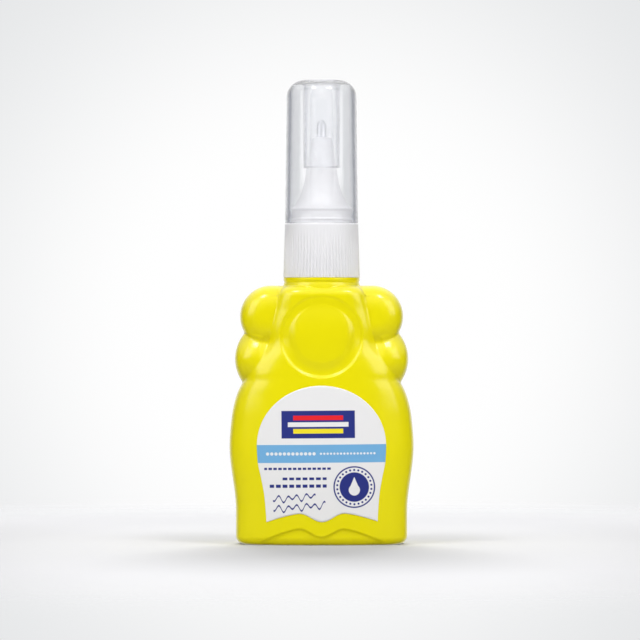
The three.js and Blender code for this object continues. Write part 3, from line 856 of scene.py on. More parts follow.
@dataclass(frozen=True)
class BodyForm:
    """The moulded form of the bottle: how wide and how deep it is at each height, in mm."""

    height: float = 58.5
    width_knots: tuple = (
        (7.5, 19.4), (22.2, 20.85), (28.834, 20.35), (32.0, 19.75), (35.0, 18.72),
        (38.0, 16.8), (41.0, 14.5), (44.9, 12.3), (51.0, 10.9), (58.5, 9.5),
    )
    depth_knots: tuple = ((0.0, 9.4), (22.2, 10.0), (58.5, 9.3))
    roundness_knots: tuple = ((22.2, 2.5), (32.0, 2.65), (44.0, 3.5), (58.5, 4.0))
    base_edge: float = 1.9
    shoulder_edge: float = 2.3
    lobes: tuple = (
        Lobe(7.0, 11.45, 51.5, 7.0),
        Lobe(9.0, 10.6, 41.9, 7.1, foot_softness=1.5, crest_z=47.9, crest_drop=0.3),
    )
    lobe_roundness: float = 3.0
    blend: float = 3.0
    lobe_blend: float = 1.2
    shoulder_blend: float = 2.0
    shoulder_span: tuple = (52.5, 57.5)
    notch_blend: float = 0.7

    @staticmethod
    def through(knots: Sequence[tuple[float, float]], at: Number) -> Number:
        """A smooth curve through (position, value) pairs, level beyond both ends.

        Args:
            knots: The pairs, by rising position.
            at: Where the curve is read.

        Returns:
            The value there.
        """
        places = np.array([k[0] for k in knots])
        values = np.array([k[1] for k in knots])
        gaps = np.diff(places)
        rises = np.diff(values) / gaps
        slopes = np.zeros(len(places))
        same_way = rises[:-1] * rises[1:] > 0
        mean = 2 * rises[:-1] * rises[1:] / np.where(same_way, rises[:-1] + rises[1:], 1.0)
        slopes[1:-1] = np.where(same_way, mean, 0.0)
        at = np.clip(at, places[0], places[-1])
        i = np.clip(np.searchsorted(places, at, side="right") - 1, 0, len(gaps) - 1)
        t = (at - places[i]) / gaps[i]
        line = values[i] * (1 + 2 * t) * (1 - t) ** 2 + values[i + 1] * t**2 * (3 - 2 * t)
        return line + gaps[i] * (slopes[i] * t * (1 - t) ** 2 - slopes[i + 1] * t**2 * (1 - t))

    def edge_inset(self, z: Number, offset: float) -> Number:
        """How far the rounded bottom and top edges have drawn in at height z.

        Args:
            z: The height.
            offset: How far the form is grown; the cavity's is negative.

        Returns:
            The inset in mm.
        """
        low = self.base_edge + offset
        high = self.shoulder_edge + offset
        below = np.clip(low - (z + offset), 0, low)
        above = np.clip(high - (self.height + offset - z), 0, high)
        return (low - np.sqrt(low**2 - below**2)) + (high - np.sqrt(high**2 - above**2))

    def trunk_half_width(self, z: Number, offset: float) -> Number:
        """Half width of the chest and belly without the lobes."""
        return self.through(self.width_knots, z) + offset - self.edge_inset(z, offset)

    def half_widths(self, z: Number, offset: float) -> tuple[Number, Number]:
        """Half width over all, with hard and with softened notches between the forms.

        Args:
            z: The height.
            offset: How far the form is grown; the cavity's is negative.

        Returns:
            The hard and the softened half width.
        """
        hard = self.trunk_half_width(z, offset)
        soft = hard
        for lobe in self.lobes:
            rise = (lobe.radius + offset) ** 2 - (z - lobe.middle_z) ** 2
            wide = np.where(rise > 0, lobe.middle_x + np.sqrt(np.maximum(rise, 0)), 0)
            near = np.maximum(self.notch_blend - np.abs(soft - wide), 0) / self.notch_blend
            soft = np.maximum(soft, wide) + near**2 * self.notch_blend / 4
            hard = np.maximum(hard, wide)
        return hard, soft

    def half_depth(self, x: Number, z: Number, offset: float = 0.0) -> Number:
        """Half depth at a point of the front view.

        Args:
            x: The place across, in mm from the middle.
            z: The height.
            offset: How far the form is grown; the cavity's is negative.

        Returns:
            The half depth in mm.
        """
        across = np.abs(x) / self.trunk_half_width(z, offset)
        power = self.through(self.roundness_knots, z)
        trunk = np.maximum(0, 1 - np.minimum(across, 1) ** power) ** (1 / power)
        depth = trunk * (self.through(self.depth_knots, z) + offset - self.edge_inset(z, offset))
        pads = []
        for lobe in self.lobes:
            outward = np.maximum(0, np.abs(x) - lobe.middle_x)
            away = np.minimum(1, np.hypot(outward, z - lobe.middle_z) / (lobe.radius + offset))
            soft = lobe.foot_softness * smooth_step(lobe.middle_z - z, 0.0, lobe.foot_reach)
            roundness = self.lobe_roundness - soft
            pad = (1 - away**roundness) ** (1 / roundness) * (lobe.half_depth + offset)
            drop = lobe.crest_drop * smooth_step(z - lobe.crest_z, *lobe.crest_span)
            pads.append(pad * (1 - drop))
        shoulder = self.shoulder_blend * smooth_step(z, *self.shoulder_span)
        return self.merged(depth, self.merged(*pads, self.lobe_blend), self.blend + shoulder)

    @staticmethod
    def merged(first: Number, second: Number, blend: float) -> Number:
        """The greater of two depths, filled out softly where they are nearly equal.

        Args:
            first: One depth.
            second: The other depth.
            blend: How much they differ where the filling starts.

        Returns:
            The merged depth.
        """
        reach = np.minimum(blend, 2 * np.minimum(first, second))
        near = np.maximum(reach - np.abs(first - second), 0) / np.maximum(reach, TINY)
        return np.maximum(first, second) + near**2 * reach / 4


@dataclass(frozen=True)
class Wave:
    """A wavy line, alike to the left and right: a valley, a peak and a fall to its end. In mm."""

    valley_z: float
    peak: tuple
    end: tuple
    fall: float = 1.4

    def height(self, x: Number) -> Number:
        """Height of the line at a place.

        Args:
            x: The place across, in mm from the middle.

        Returns:
            The height in mm.
        """
        (peak_x, peak_z), (end_x, end_z) = self.peak, self.end
        away = np.abs(x)
        middle = self.valley_z + (peak_z - self.valley_z) * (0.5 - 0.5 * np.cos(np.pi * away / peak_x))
        share = np.clip((away - peak_x) / (end_x - peak_x), 0, 1.3)
        return np.where(away < peak_x, middle, peak_z - (peak_z - end_z) * share**self.fall)


@dataclass(frozen=True)
class Relief:
    """What stands out of the moulded form or is sunk into it on the front and back.

    In mm; a pair is where a soft edge starts and where it ends.
    """

    disc_z: float = 47.0
    disc_radius: float = 7.6
    disc_dome: float = 0.55
    disc_sunk: float = 0.25
    disc_step: float = 0.22
    step_edge: tuple = (-0.78, -0.28)
    step_sides: tuple = (2.5, 6.0)
    step_rise: tuple = (-4.0, 0.5)
    groove_width: float = 1.7
    groove_inner: tuple = (-1.9, 0.9)
    groove_outer: tuple = (-0.55, 0.15)
    groove_rise: tuple = (-0.95, 0.1)
    groove_depth: float = 0.5
    wave: Wave = Wave(1.85, (5.05, 3.7), (13.9, 0.6))
    panel_depth: float = 0.45
    panel_soft: float = 0.55
    panel_end: tuple = (-1.2, 0.3)
    ridge_x: float = 13.45
    ridge_z: float = 46.9
    ridge_lean: float = 0.23
    ridge_bend: tuple = (13.4, 46.7)
    ridge_inner: tuple = (-0.45, 0.25)
    ridge_upper: tuple = (-0.35, 0.25)
    ridge_foot: tuple = (41.3, 44.6)
    ridge_side: tuple = (16.2, 18.4)
    ridge_height: float = 0.27

    def depth(self, x: Number, z: Number) -> Number:
        """How far the surface stands out at a point of the front view; less than 0 is sunk.

        Args:
            x: The place across, in mm from the middle.
            z: The height.

        Returns:
            The relief in mm.
        """
        away = np.hypot(x, z - self.disc_z)
        inner = smooth_step(away - self.disc_radius, *self.groove_inner)
        outer = 1 - smooth_step(away - self.disc_radius - self.groove_width, *self.groove_outer)
        dome = self.disc_dome * np.maximum(0, 1 - (away / self.disc_radius) ** 2) - self.disc_sunk
        step = self.disc_step * (1 - smooth_step(away - self.disc_radius, *self.step_edge))
        sideways = 0.2 + 0.8 * smooth_step(np.abs(x), *self.step_sides)
        button = dome * (1 - inner) + step * sideways * smooth_step(z - self.disc_z, *self.step_rise)
        lower = 0.25 + 0.75 * smooth_step((self.disc_z - z) / self.disc_radius, *self.groove_rise)
        groove = self.groove_depth * lower * inner * outer
        panel = smooth_step(self.wave.height(x) - z, -self.panel_soft / 2, self.panel_soft / 2)
        panel = panel * (1 - smooth_step(np.abs(x) - self.wave.end[0], *self.panel_end))
        return button - groove - self.panel_depth * panel + self.ridge(x, z)

    def ridge(self, x: Number, z: Number) -> Number:
        """The crisp inner and upper border of the lower side lobes.

        Args:
            x: The place across, in mm from the middle.
            z: The height.

        Returns:
            How far it stands out, in mm.
        """
        bend_x, bend_z = self.ridge_bend
        inner_line = self.ridge_x + self.ridge_lean * np.maximum(0, bend_z - z)
        upper_line = self.ridge_z + self.ridge_lean * np.maximum(0, np.abs(x) - bend_x)
        inside_x = smooth_step(np.abs(x) - inner_line, *self.ridge_inner)
        inside_z = smooth_step(upper_line - z, *self.ridge_upper)
        fade = smooth_step(z, *self.ridge_foot) * (1 - smooth_step(np.abs(x), *self.ridge_side))
        return self.ridge_height * inside_x * inside_z * fade


@dataclass
class Bottle:
    """The yellow squeeze bottle with its neck, thread and labels. Sizes in mm."""

    form: BodyForm = BodyForm()
    relief: Relief = Relief()
    relief_fade: tuple = (0.5, 2.5)
    columns: int = 348
    crease_deg: float = 40.0
    oval: tuple = (20, 10)
    side_power: int = 16
    wall: float = 1.3
    pedestal_radius: float = 8.6
    pedestal_top: float = 60.27
    neck_radius: float = 6.3
    neck_bore: float = 5.0
    neck_lip: float = 70.6
    thread: Thread = Thread(root=6.05, crest=7.05, start=62.8)
    recess: tuple = (13.5, 4.8, 0.5)
    round_from: float = 56.15
    film: float = 0.06
    film_gap: float = 0.03
    label_side: tuple = (
        (5.35, 12.5), (8.1, 12.63), (11.7, 12.96), (15.3, 13.6), (18.9, 14.31), (22.6, 14.49),
    )

    def __post_init__(self) -> None:
        """Space the columns evenly along an oval like the belly."""
        fine = np.linspace(0, FULL_TURN, 20001)
        wide, deep = self.oval
        steps = np.hypot(wide * np.sin(fine), deep * np.cos(fine))
        length = np.concatenate([[0], np.cumsum((steps[1:] + steps[:-1]) / 2)])
        wanted = np.linspace(0, length[-1], self.columns + 1)
        self.turns = np.interp(wanted, length, fine)

    def ring(self, z: float, offset: float = 0.0, with_relief: bool = False) -> np.ndarray:
        """One level ring of the body.

        Args:
            z: Its height.
            offset: How far the form is grown; the cavity's is negative.
            with_relief: Whether the disc, the ridges and the foot panel are in it.

        Returns:
            One point for each column.
        """
        hard, soft = self.form.half_widths(z, offset)
        x = hard * np.cos(self.turns)
        level = np.full_like(x, z)
        depth = self.form.half_depth(x, level, offset)
        if with_relief:
            shown = smooth_step(depth, *self.relief_fade)
            depth = np.maximum(0, depth + self.relief.depth(x, level) * shown)
        widened = x * (1 + (soft / hard - 1) * np.cos(self.turns) ** self.side_power)
        return triples(widened, np.sign(np.round(np.sin(self.turns), 9)) * depth, level)

    def circle(self, radius: float, z: Number) -> np.ndarray:
        """One round ring about the Z axis."""
        return polar(radius, self.turns, z)

    def top_height(self, x: np.ndarray, y: np.ndarray) -> np.ndarray:
        """Height of the rounded shoulder over points of the top view.

        Args:
            x: Places across.
            y: Places from front to back.

        Returns:
            The heights in mm.
        """
        low = np.full_like(x, self.round_from)
        high = np.full_like(x, self.form.height)
        for _ in range(HALVINGS):
            middle = (low + high) / 2
            hard, _ = self.form.half_widths(middle, 0.0)
            inside = (np.abs(x) < hard) & (self.form.half_depth(x, middle) > np.abs(y))
            low = np.where(inside, middle, low)
            high = np.where(inside, high, middle)
        return (low + high) / 2

    def base_rings(self) -> list[np.ndarray]:
        """The hollow foot and the rounded edge round it.

        Returns:
            The rings, from the middle of the foot outwards.
        """
        wide, deep, sunk = self.recess
        rings = []
        for share, height in [(0.0, 1.0), (0.5, 1.0), (0.96, 1.0), (0.99, 0.8), (1.0, 0.3), (1.02, 0.0)]:
            x, y = wide * share * np.cos(self.turns), deep * share * np.sin(self.turns)
            rings.append(triples(x, y, sunk * height))
        edge = self.form.base_edge
        rings += [self.ring(edge * (1 - math.cos(a)), with_relief=True) for a in np.linspace(0, math.pi / 2, 12)]
        return rings

    def shoulder_rings(self) -> list[np.ndarray]:
        """The rounded shoulder, from the straight side in to the foot of the pedestal.

        Returns:
            The rings, from the side inwards.
        """
        rows, fillet = 24, 0.25
        start = self.ring(self.round_from, with_relief=True)
        end = self.circle(self.pedestal_radius + fillet, 0.0)
        rings = []
        for i in range(1, rows + 1):
            share = (i / rows) ** 2
            x, y, _ = (start * (1 - share) + end * share).T
            rings.append(triples(x, y, self.top_height(x, y)))
        foot = rings[-1][:, 2]
        for turn in np.radians([30, 60, 90]):
            radius = self.pedestal_radius + fillet * (1 - math.sin(turn))
            rings.append(self.circle(radius, foot + fillet * (1 - math.cos(turn))))
        return rings

    def neck_rings(self) -> list[np.ndarray]:
        """The pedestal, the neck, its lip and its bore.

        Returns:
            The rings, from the pedestal up and down again into the bore.
        """
        rim, neck, bore = self.pedestal_radius, self.neck_radius, self.neck_bore
        profile = rounded([
            Corner(rim - 0.02, 58.9), Corner(rim - 0.12, 59.1, 0.2), Corner(rim - 0.12, 59.4, 0.15),
            Corner(rim, 59.6, 0.15), Corner(rim, self.pedestal_top, 0.1),
            Corner(neck, self.pedestal_top, 0.4), Corner(neck, self.neck_lip, 0.3),
            Corner(bore, self.neck_lip, 0.3), Corner(bore, self.form.height - self.wall - 0.05),
        ], closed=False)
        return [self.circle(radius, z) for radius, z in profile]

    def cavity_rings(self) -> list[np.ndarray]:
        """The hollow inside, from the neck's bore down to the floor.

        Returns:
            The rings, from the top down.
        """
        top = self.form.height - self.wall
        levels = np.concatenate([[top - 0.12], np.linspace(top - 1, 4, 22), [2.6, 1.8, self.wall]])
        rings = [self.ring(z, -self.wall) for z in levels]
        return rings + [rings[-1] * [0.5, 0.5, 1], rings[-1] * [0, 0, 1]]

    def shell(self) -> Piece:
        """Mould the bottle as one closed skin, outside and inside.

        Returns:
            The body of the bottle.
        """
        spans = [(self.form.base_edge, 4.8, 23), (4.8, 33.0, 39), (33.0, self.round_from, 104)]
        rings = self.base_rings()
        for low, high, count in spans:
            rings += [self.ring(z, with_relief=True) for z in np.linspace(low, high, count)[1:]]
        rings += self.shoulder_rings() + self.neck_rings() + self.cavity_rings()
        stack = np.array(rings)

        def place(column: np.ndarray, row: np.ndarray) -> np.ndarray:
            """Points of the stacked rings."""
            return stack[row, column]

        return moulded("bottle_shell", self.columns, len(stack) - 1, place, self.crease_deg)

    def label_film(self, side: Side) -> Piece:
        """A thin film that follows the belly, with an arched top and a wavy foot.

        Args:
            side: Which side of the bottle it is on.

        Returns:
            The film.
        """
        columns, rows = 96, 72
        foot = Wave(5.35, (5.05, 7.25), (12.5, 5.35))
        arch_z, arch_height = 22.6, 13.35
        tilt = math.radians(LABEL_TILT_DEG)

        def place(column: np.ndarray, row: np.ndarray) -> np.ndarray:
            """Points of the film's inner face.

            Args:
                column: Column numbers of the grid.
                row: Row numbers of the grid.

            Returns:
                The points in mm, as an array of triples.
            """
            share = np.sin((column / columns - 0.5) * math.pi)
            up = row / rows
            width = self.form.through(self.label_side, foot.valley_z + (arch_z - foot.valley_z) * up)
            low = foot.height(share * foot.end[0])
            high = arch_z + arch_height * np.sqrt(np.maximum(0, 1 - share**2))
            x, z = width * share, low + (high - low) * up - LABEL_PIVOT_Z
            tilted_x = x * math.cos(tilt) - z * math.sin(tilt)
            tilted_z = x * math.sin(tilt) + z * math.cos(tilt) + LABEL_PIVOT_Z
            depth = self.form.half_depth(tilted_x, tilted_z) + self.relief.depth(tilted_x, tilted_z)
            return triples(-side.value * tilted_x, side.value * (depth + self.film_gap), tilted_z)

        film = moulded(f"{side.name.lower()}_film", columns, rows, place)
        thicken = film.modifiers.new("thickness", "SOLIDIFY")
        thicken.thickness = self.film * MM
        thicken.offset = 1
        bpy.ops.object.modifier_apply(modifier=thicken.name)
        return film

    def build(self) -> None:
        """Make, dress and place every piece of the bottle."""
        yellow = MouldedYellow().make()
        for piece in (self.shell(), self.thread.make("neck_thread")):
            finish_piece(piece, yellow, "bottle", "bottle_body")
        for side in Side:
            film = PrintedFilm(side).make()
            finish_piece(self.label_film(side), film, "bottle", f"{side.name.lower()}_label")


# The collar, the tip and what is in it


@dataclass
class Nozzle:
    """The ribbed screw collar and its nozzle, one white moulding. Sizes in mm."""

    bottom: float = 60.3
    top: float = 72.5
    bottom_radius: float = 8.64
    top_radius: float = 8.3
    ribs: int = 68
    rib_depth: float = 0.38
    rib_foot: float = 1.0
    rib_head: float = 0.25
    rib_fade: float = 1.5
    plug_radius: float = 6.75
    plug_top: float = 76.3
    bead: float = 0.2
    flare_radius: float = 6.35
    waist_radius: float = 3.5
    waist_z: float = 84.9
    nozzle_top: float = 92.1
    top_rim: float = 2.15
    ceiling: float = 71.5
    socket_radius: float = 7.3
    chamber_radius: float = 5.0
    chamber_top: float = 75.6
    barrel_bore: float = 1.76
    barrel_bottom: float = 80.84
    socket_step: float = 89.9
    tube_bore: float = 1.185
    thread: Thread = Thread(root=7.5, crest=6.55, start=64.3)

    def flare(self) -> list[Corner]:
        """The hollow curve from the plug up to the nozzle's waist.

        Returns:
            The corners of the curve.
        """
        start, end = Vector((self.flare_radius, self.plug_top)), Vector((self.waist_radius, self.waist_z))
        bend = Vector((self.waist_radius + 0.4, self.plug_top + 3))
        corners, steps = [], 14
        for i in range(steps + 1):
            t = i / steps
            spot = start * (1 - t) ** 2 + bend * (2 * t * (1 - t)) + end * t**2
            corners.append(Corner(spot.x, spot.y, 0.12 if i == 0 else 0.0))
        return corners

    def profile(self) -> list[tuple[float, float]]:
        """The half profile of the moulding, from the collar's mouth up, in and down again.

        Returns:
            The points as (radius, height) pairs in mm.
        """
        plug, bead = self.plug_radius, self.plug_radius + self.bead
        bottom, top, plug_top = self.bottom, self.top, self.plug_top
        corners = [Corner(self.socket_radius, bottom, 0.15), Corner(self.bottom_radius, bottom, 0.08)]
        for share in (0.2, 0.4, 0.6, 0.76, 0.82, 0.88, 0.94):
            radius = self.bottom_radius + share * (self.top_radius - self.bottom_radius)
            corners.append(Corner(radius, bottom + share * (top - bottom)))
        corners += [
            Corner(self.top_radius, top, 0.3), Corner(plug, top, 0.12),
            Corner(plug, top + 0.6, 0.1), Corner(bead, top + 0.9, 0.12),
            Corner(bead, top + 1.1, 0.12), Corner(plug, top + 1.4, 0.1),
            Corner(plug, plug_top - 1.0, 0.1), Corner(bead, plug_top - 0.7, 0.12),
            Corner(bead, plug_top - 0.4, 0.12), *self.flare(),
            Corner(self.top_rim, self.nozzle_top, 0.35), Corner(self.tube_bore, self.nozzle_top, 0.1),
            Corner(self.tube_bore, self.socket_step, 0.05), Corner(self.barrel_bore, self.socket_step, 0.05),
            Corner(self.barrel_bore, self.barrel_bottom, 0.3), Corner(self.chamber_radius, self.chamber_top, 0.6),
            Corner(self.chamber_radius, self.ceiling, 0.15), Corner(self.socket_radius, self.ceiling, 0.2),
        ]
        return rounded(corners, closed=True)

    def press_ribs(self, points: np.ndarray) -> np.ndarray:
        """Sink the grooves between the grip ribs, deepest at the bottom and none at the top.

        Args:
            points: The points of the moulding.

        Returns:
            The points, moved.
        """
        radius = np.hypot(points[:, 0], points[:, 1])
        angle = np.arctan2(points[:, 1], points[:, 0])
        low, high = self.bottom + self.rib_foot, self.top - self.rib_head
        fade = 1 - smooth_step(points[:, 2], low, high) ** self.rib_fade
        outside = (radius > self.top_radius - 0.4) & (points[:, 2] < self.top + 0.01)
        groove = 0.5 - 0.5 * np.cos(angle * self.ribs)
        sunk = radius - self.rib_depth * groove * fade * outside
        scale = sunk / np.maximum(radius, TINY)
        return points * triples(scale, scale, 1.0)

    def moulding(self) -> Piece:
        """Turn the collar with its nozzle and press the grip ribs into it.

        Returns:
            The white moulding.
        """
        piece = turned("ribbed_collar", self.profile(), self.ribs * 6)
        reshape(piece, self.press_ribs)
        return piece

    def build(self) -> None:
        """Make, dress and place the moulding and the thread inside it."""
        white = WhitePlastic().make()
        for piece in (self.moulding(), self.thread.make("collar_thread")):
            finish_piece(piece, white, "nozzle", "nozzle_collar")


@dataclass
class Tip:
    """The steel tip tube with the sprung needle in it. Sizes in mm."""

    segments: int = 48
    barrel_radius: float = 1.7
    barrel_bore: float = 1.25
    barrel_bottom: float = 80.84
    barrel_top: float = 89.84
    tube_radius: float = 1.125
    tube_bore: float = 0.7
    tube_shoulder: float = 95.04
    top: float = 96.04
    mouth: float = 0.45
    hole: float = 0.36
    retainer_top: float = 82.04
    spring_bottom: float = 82.09
    spring_length: float = 4.0
    spring_turns: float = 5.0
    wire_radius: float = 0.15
    coil_radius: float = 0.8
    head_bottom: float = 86.14
    head_top: float = 87.74
    needle_end: float = 96.39
    press_share: float = 0.925

    def tube(self) -> Piece:
        """The barrel and the thinner tube that stands out of the nozzle.

        Returns:
            The steel tube.
        """
        low, high, shoulder = self.barrel_bottom, self.barrel_top, self.tube_shoulder
        return turned("steel_tip", rounded([
            Corner(self.barrel_bore, low, 0.05), Corner(self.barrel_radius, low, 0.1),
            Corner(self.barrel_radius, high, 0.28), Corner(self.tube_radius, high, 0.08),
            Corner(self.tube_radius, shoulder, 0.5), Corner(self.mouth + 0.05, self.top - 0.06, 0.08),
            Corner(self.mouth, self.top, 0.04), Corner(self.hole, self.top, 0.03),
            Corner(self.hole, self.top - 0.4, 0.05), Corner(self.tube_bore, shoulder - 0.2, 0.1),
            Corner(self.tube_bore, high - 0.5, 0.1), Corner(self.barrel_bore, high - 1, 0.1),
        ], closed=True), self.segments)

    def needle(self) -> Piece:
        """The valve needle with its round end, its head and its tail in the spring.

        Returns:
            The needle.
        """
        end, stem, head = 0.28, 0.45, 1.05
        low, high, shoulder, tail = self.head_bottom, self.head_top, self.tube_shoulder, self.head_bottom - 1.6
        return turned("valve_pin", rounded([
            Corner(0, tail), Corner(stem, tail, 0.1), Corner(stem, low, 0.05), Corner(head, low, 0.12),
            Corner(head, high - 0.5, 0.1), Corner(stem, high, 0.1), Corner(stem, shoulder - 0.7, 0.1),
            Corner(end, shoulder - 0.4, 0.1), Corner(end, self.needle_end, 0.26), Corner(0, self.needle_end),
        ], closed=False), 32)

    def spring(self) -> Piece:
        """The coil spring, one unbroken wire.

        Returns:
            The spring.
        """
        climb = self.spring_length - 2 * self.wire_radius

        def outline(share: np.ndarray, turn: np.ndarray) -> tuple[np.ndarray, np.ndarray]:
            """Radii and heights of the wire for its way round and its section."""
            height = self.spring_bottom + self.wire_radius + climb * share + self.wire_radius * np.sin(turn)
            return self.coil_radius + self.wire_radius * np.cos(turn), height

        return wound("coil_spring", 180, 10, self.spring_turns, outline)

    def retainer(self) -> Piece:
        """The pierced plug under the spring.

        Returns:
            The plug.
        """
        return turned("spring_plug", rounded([
            Corner(0.5, self.barrel_bottom, 0.12), Corner(1.2, self.barrel_bottom, 0.15),
            Corner(1.2, self.retainer_top, 0.15), Corner(0.5, self.retainer_top, 0.12),
        ], closed=True), 32)

    def build(self) -> None:
        """Make, dress and place the tip's pieces."""
        turned_steel = Steel(SteelWork.TURNED).make()
        polished = Steel(SteelWork.POLISHED).make()
        drawn = Steel(SteelWork.DRAWN).make()
        acetal = WhitePlastic("moulded_acetal", (0.72, 0.72, 0.69), (0.65, 0.65, 0.62), 0.5, 0.3).make()
        finish_piece(self.tube(), turned_steel, "nozzle", "metal_tip")
        finish_piece(self.needle(), polished, "needle", "valve_needle")
        coil = self.spring()
        finish_piece(coil, drawn, "nozzle", "valve_spring")
        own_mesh(coil)
        finish_piece(self.retainer(), acetal, "nozzle", "spring_retainer")


@dataclass
class Inside:
    """The sealing ring on the neck's lip and the mixing ball. Sizes in mm."""

    ring_bottom: float = 70.65
    ring_top: float = 71.45
    ring_inner: float = 5.0
    ring_outer: float = 6.3
    ball_radius: float = 2.75
    ball_z: float = 4.35

    def seal(self) -> Piece:
        """The flat foam ring with soft edges.

        Returns:
            The ring.
        """
        low, high = self.ring_bottom, self.ring_top
        return turned("sealing_ring", rounded([
            Corner(self.ring_inner, low, 0.2), Corner(self.ring_outer, low, 0.2),
            Corner(self.ring_outer, high, 0.2), Corner(self.ring_inner, high, 0.2),
        ], closed=True), 96)

    def ball(self) -> Piece:
        """The ground steel ball, turned from a half round with a tiny flat at each pole.

        Returns:
            The ball.
        """
        arc = []
        for i in range(33):
            turn = math.pi * (i / 32 - 0.5)
            arc.append((self.ball_radius * math.cos(turn), self.ball_z + self.ball_radius * math.sin(turn)))
        arc[0], arc[-1] = (0.0, arc[0][1]), (0.0, arc[-1][1])
        return turned("steel_ball", arc, 64)

    def build(self) -> None:
        """Make, dress and place both pieces."""
        finish_piece(self.seal(), SealFoam().make(), "seal", "neck_gasket")
        finish_piece(self.ball(), Steel(SteelWork.POLISHED).make(), "ball", "mixing_ball")


# The cap


@dataclass
class Cap:
    """The clear push-on cap with its inner sleeve. Sizes in mm."""

    segments: int = 192
    bottom: float = 72.6
    top: float = 105.0
    bottom_radius: float = 8.26
    top_radius: float = 7.85
    wall: float = 0.95
    dome_radius: float = 4.5
    sleeve_top_radius: float = 4.28
    sleeve_bottom_radius: float = 4.15
    sleeve_top_bore: float = 3.45
    sleeve_bottom_bore: float = 3.62
    sleeve_bottom: float = 85.1
    bead_radius: float = 7.16
    bead_z: float = 74.55

    def shell(self) -> Piece:
        """Turn the cap with its domed top, its wall and the sleeve inside.

        Returns:
            The cap.
        """
        inner = self.bottom_radius - self.wall
        roof, foot, bead = self.top - self.wall, self.sleeve_bottom, self.bead_z
        bore, sleeve = self.sleeve_bottom_bore, self.sleeve_bottom_radius
        return turned("clear_cap", rounded([
            Corner(0, roof), Corner(self.sleeve_top_bore - 0.05, roof, 0.9),
            Corner(bore, foot + 0.4, 0.2), Corner(bore + 0.2, foot, 0.08),
            Corner(sleeve - 0.12, foot, 0.12), Corner(sleeve, foot + 0.5, 0.3),
            Corner(self.sleeve_top_radius, roof, 0.5),
            Corner(self.top_radius - self.wall, roof, self.dome_radius - self.wall),
            Corner(inner, bead + 0.9, 0.8), Corner(self.bead_radius, bead, 0.8), Corner(inner, bead - 0.9, 0.8),
            Corner(inner, self.bottom, 0.15), Corner(self.bottom_radius, self.bottom, 0.2),
            Corner(self.top_radius, self.top, self.dome_radius), Corner(0, self.top),
        ], closed=False, step_deg=6.0), self.segments)

    def build(self) -> None:
        """Make, dress and place the cap."""
        finish_piece(self.shell(), ClearPlastic().make(), "cap", "cap")


# The studio


@dataclass(frozen=True)
class Softbox:
    """A soft lamp: where it stands, its size in metres and how bright its face is."""

    name: str
    azimuth_deg: float
    elevation_deg: float
    distance: float
    width: float
    height: float
    radiance: float
    mirrored: bool = True
    seen_through: bool = True

    def place(self, target: Vector) -> None:
        """Set the lamp up, facing the target.

        Args:
            target: The point that it faces.
        """
        azimuth, elevation = math.radians(self.azimuth_deg), math.radians(self.elevation_deg)
        level = math.cos(elevation)
        out = Vector((math.sin(azimuth) * level, -math.cos(azimuth) * level, math.sin(elevation)))
        lamp = bpy.data.lights.new(self.name, "AREA")
        lamp.shape = "RECTANGLE"
        lamp.size, lamp.size_y = self.width, self.height
        lamp.energy = self.radiance * math.pi * self.width * self.height
        lamp.cycles.use_multiple_importance_sampling = self.mirrored
        stand = bpy.data.objects.new(self.name, lamp)
        stand.location = target + out * self.distance
        stand.rotation_euler = (-out).to_track_quat("-Z", "Y").to_euler()
        stand.visible_glossy = self.mirrored
        stand.visible_transmission = self.seen_through
        bpy.context.scene.collection.objects.link(stand)


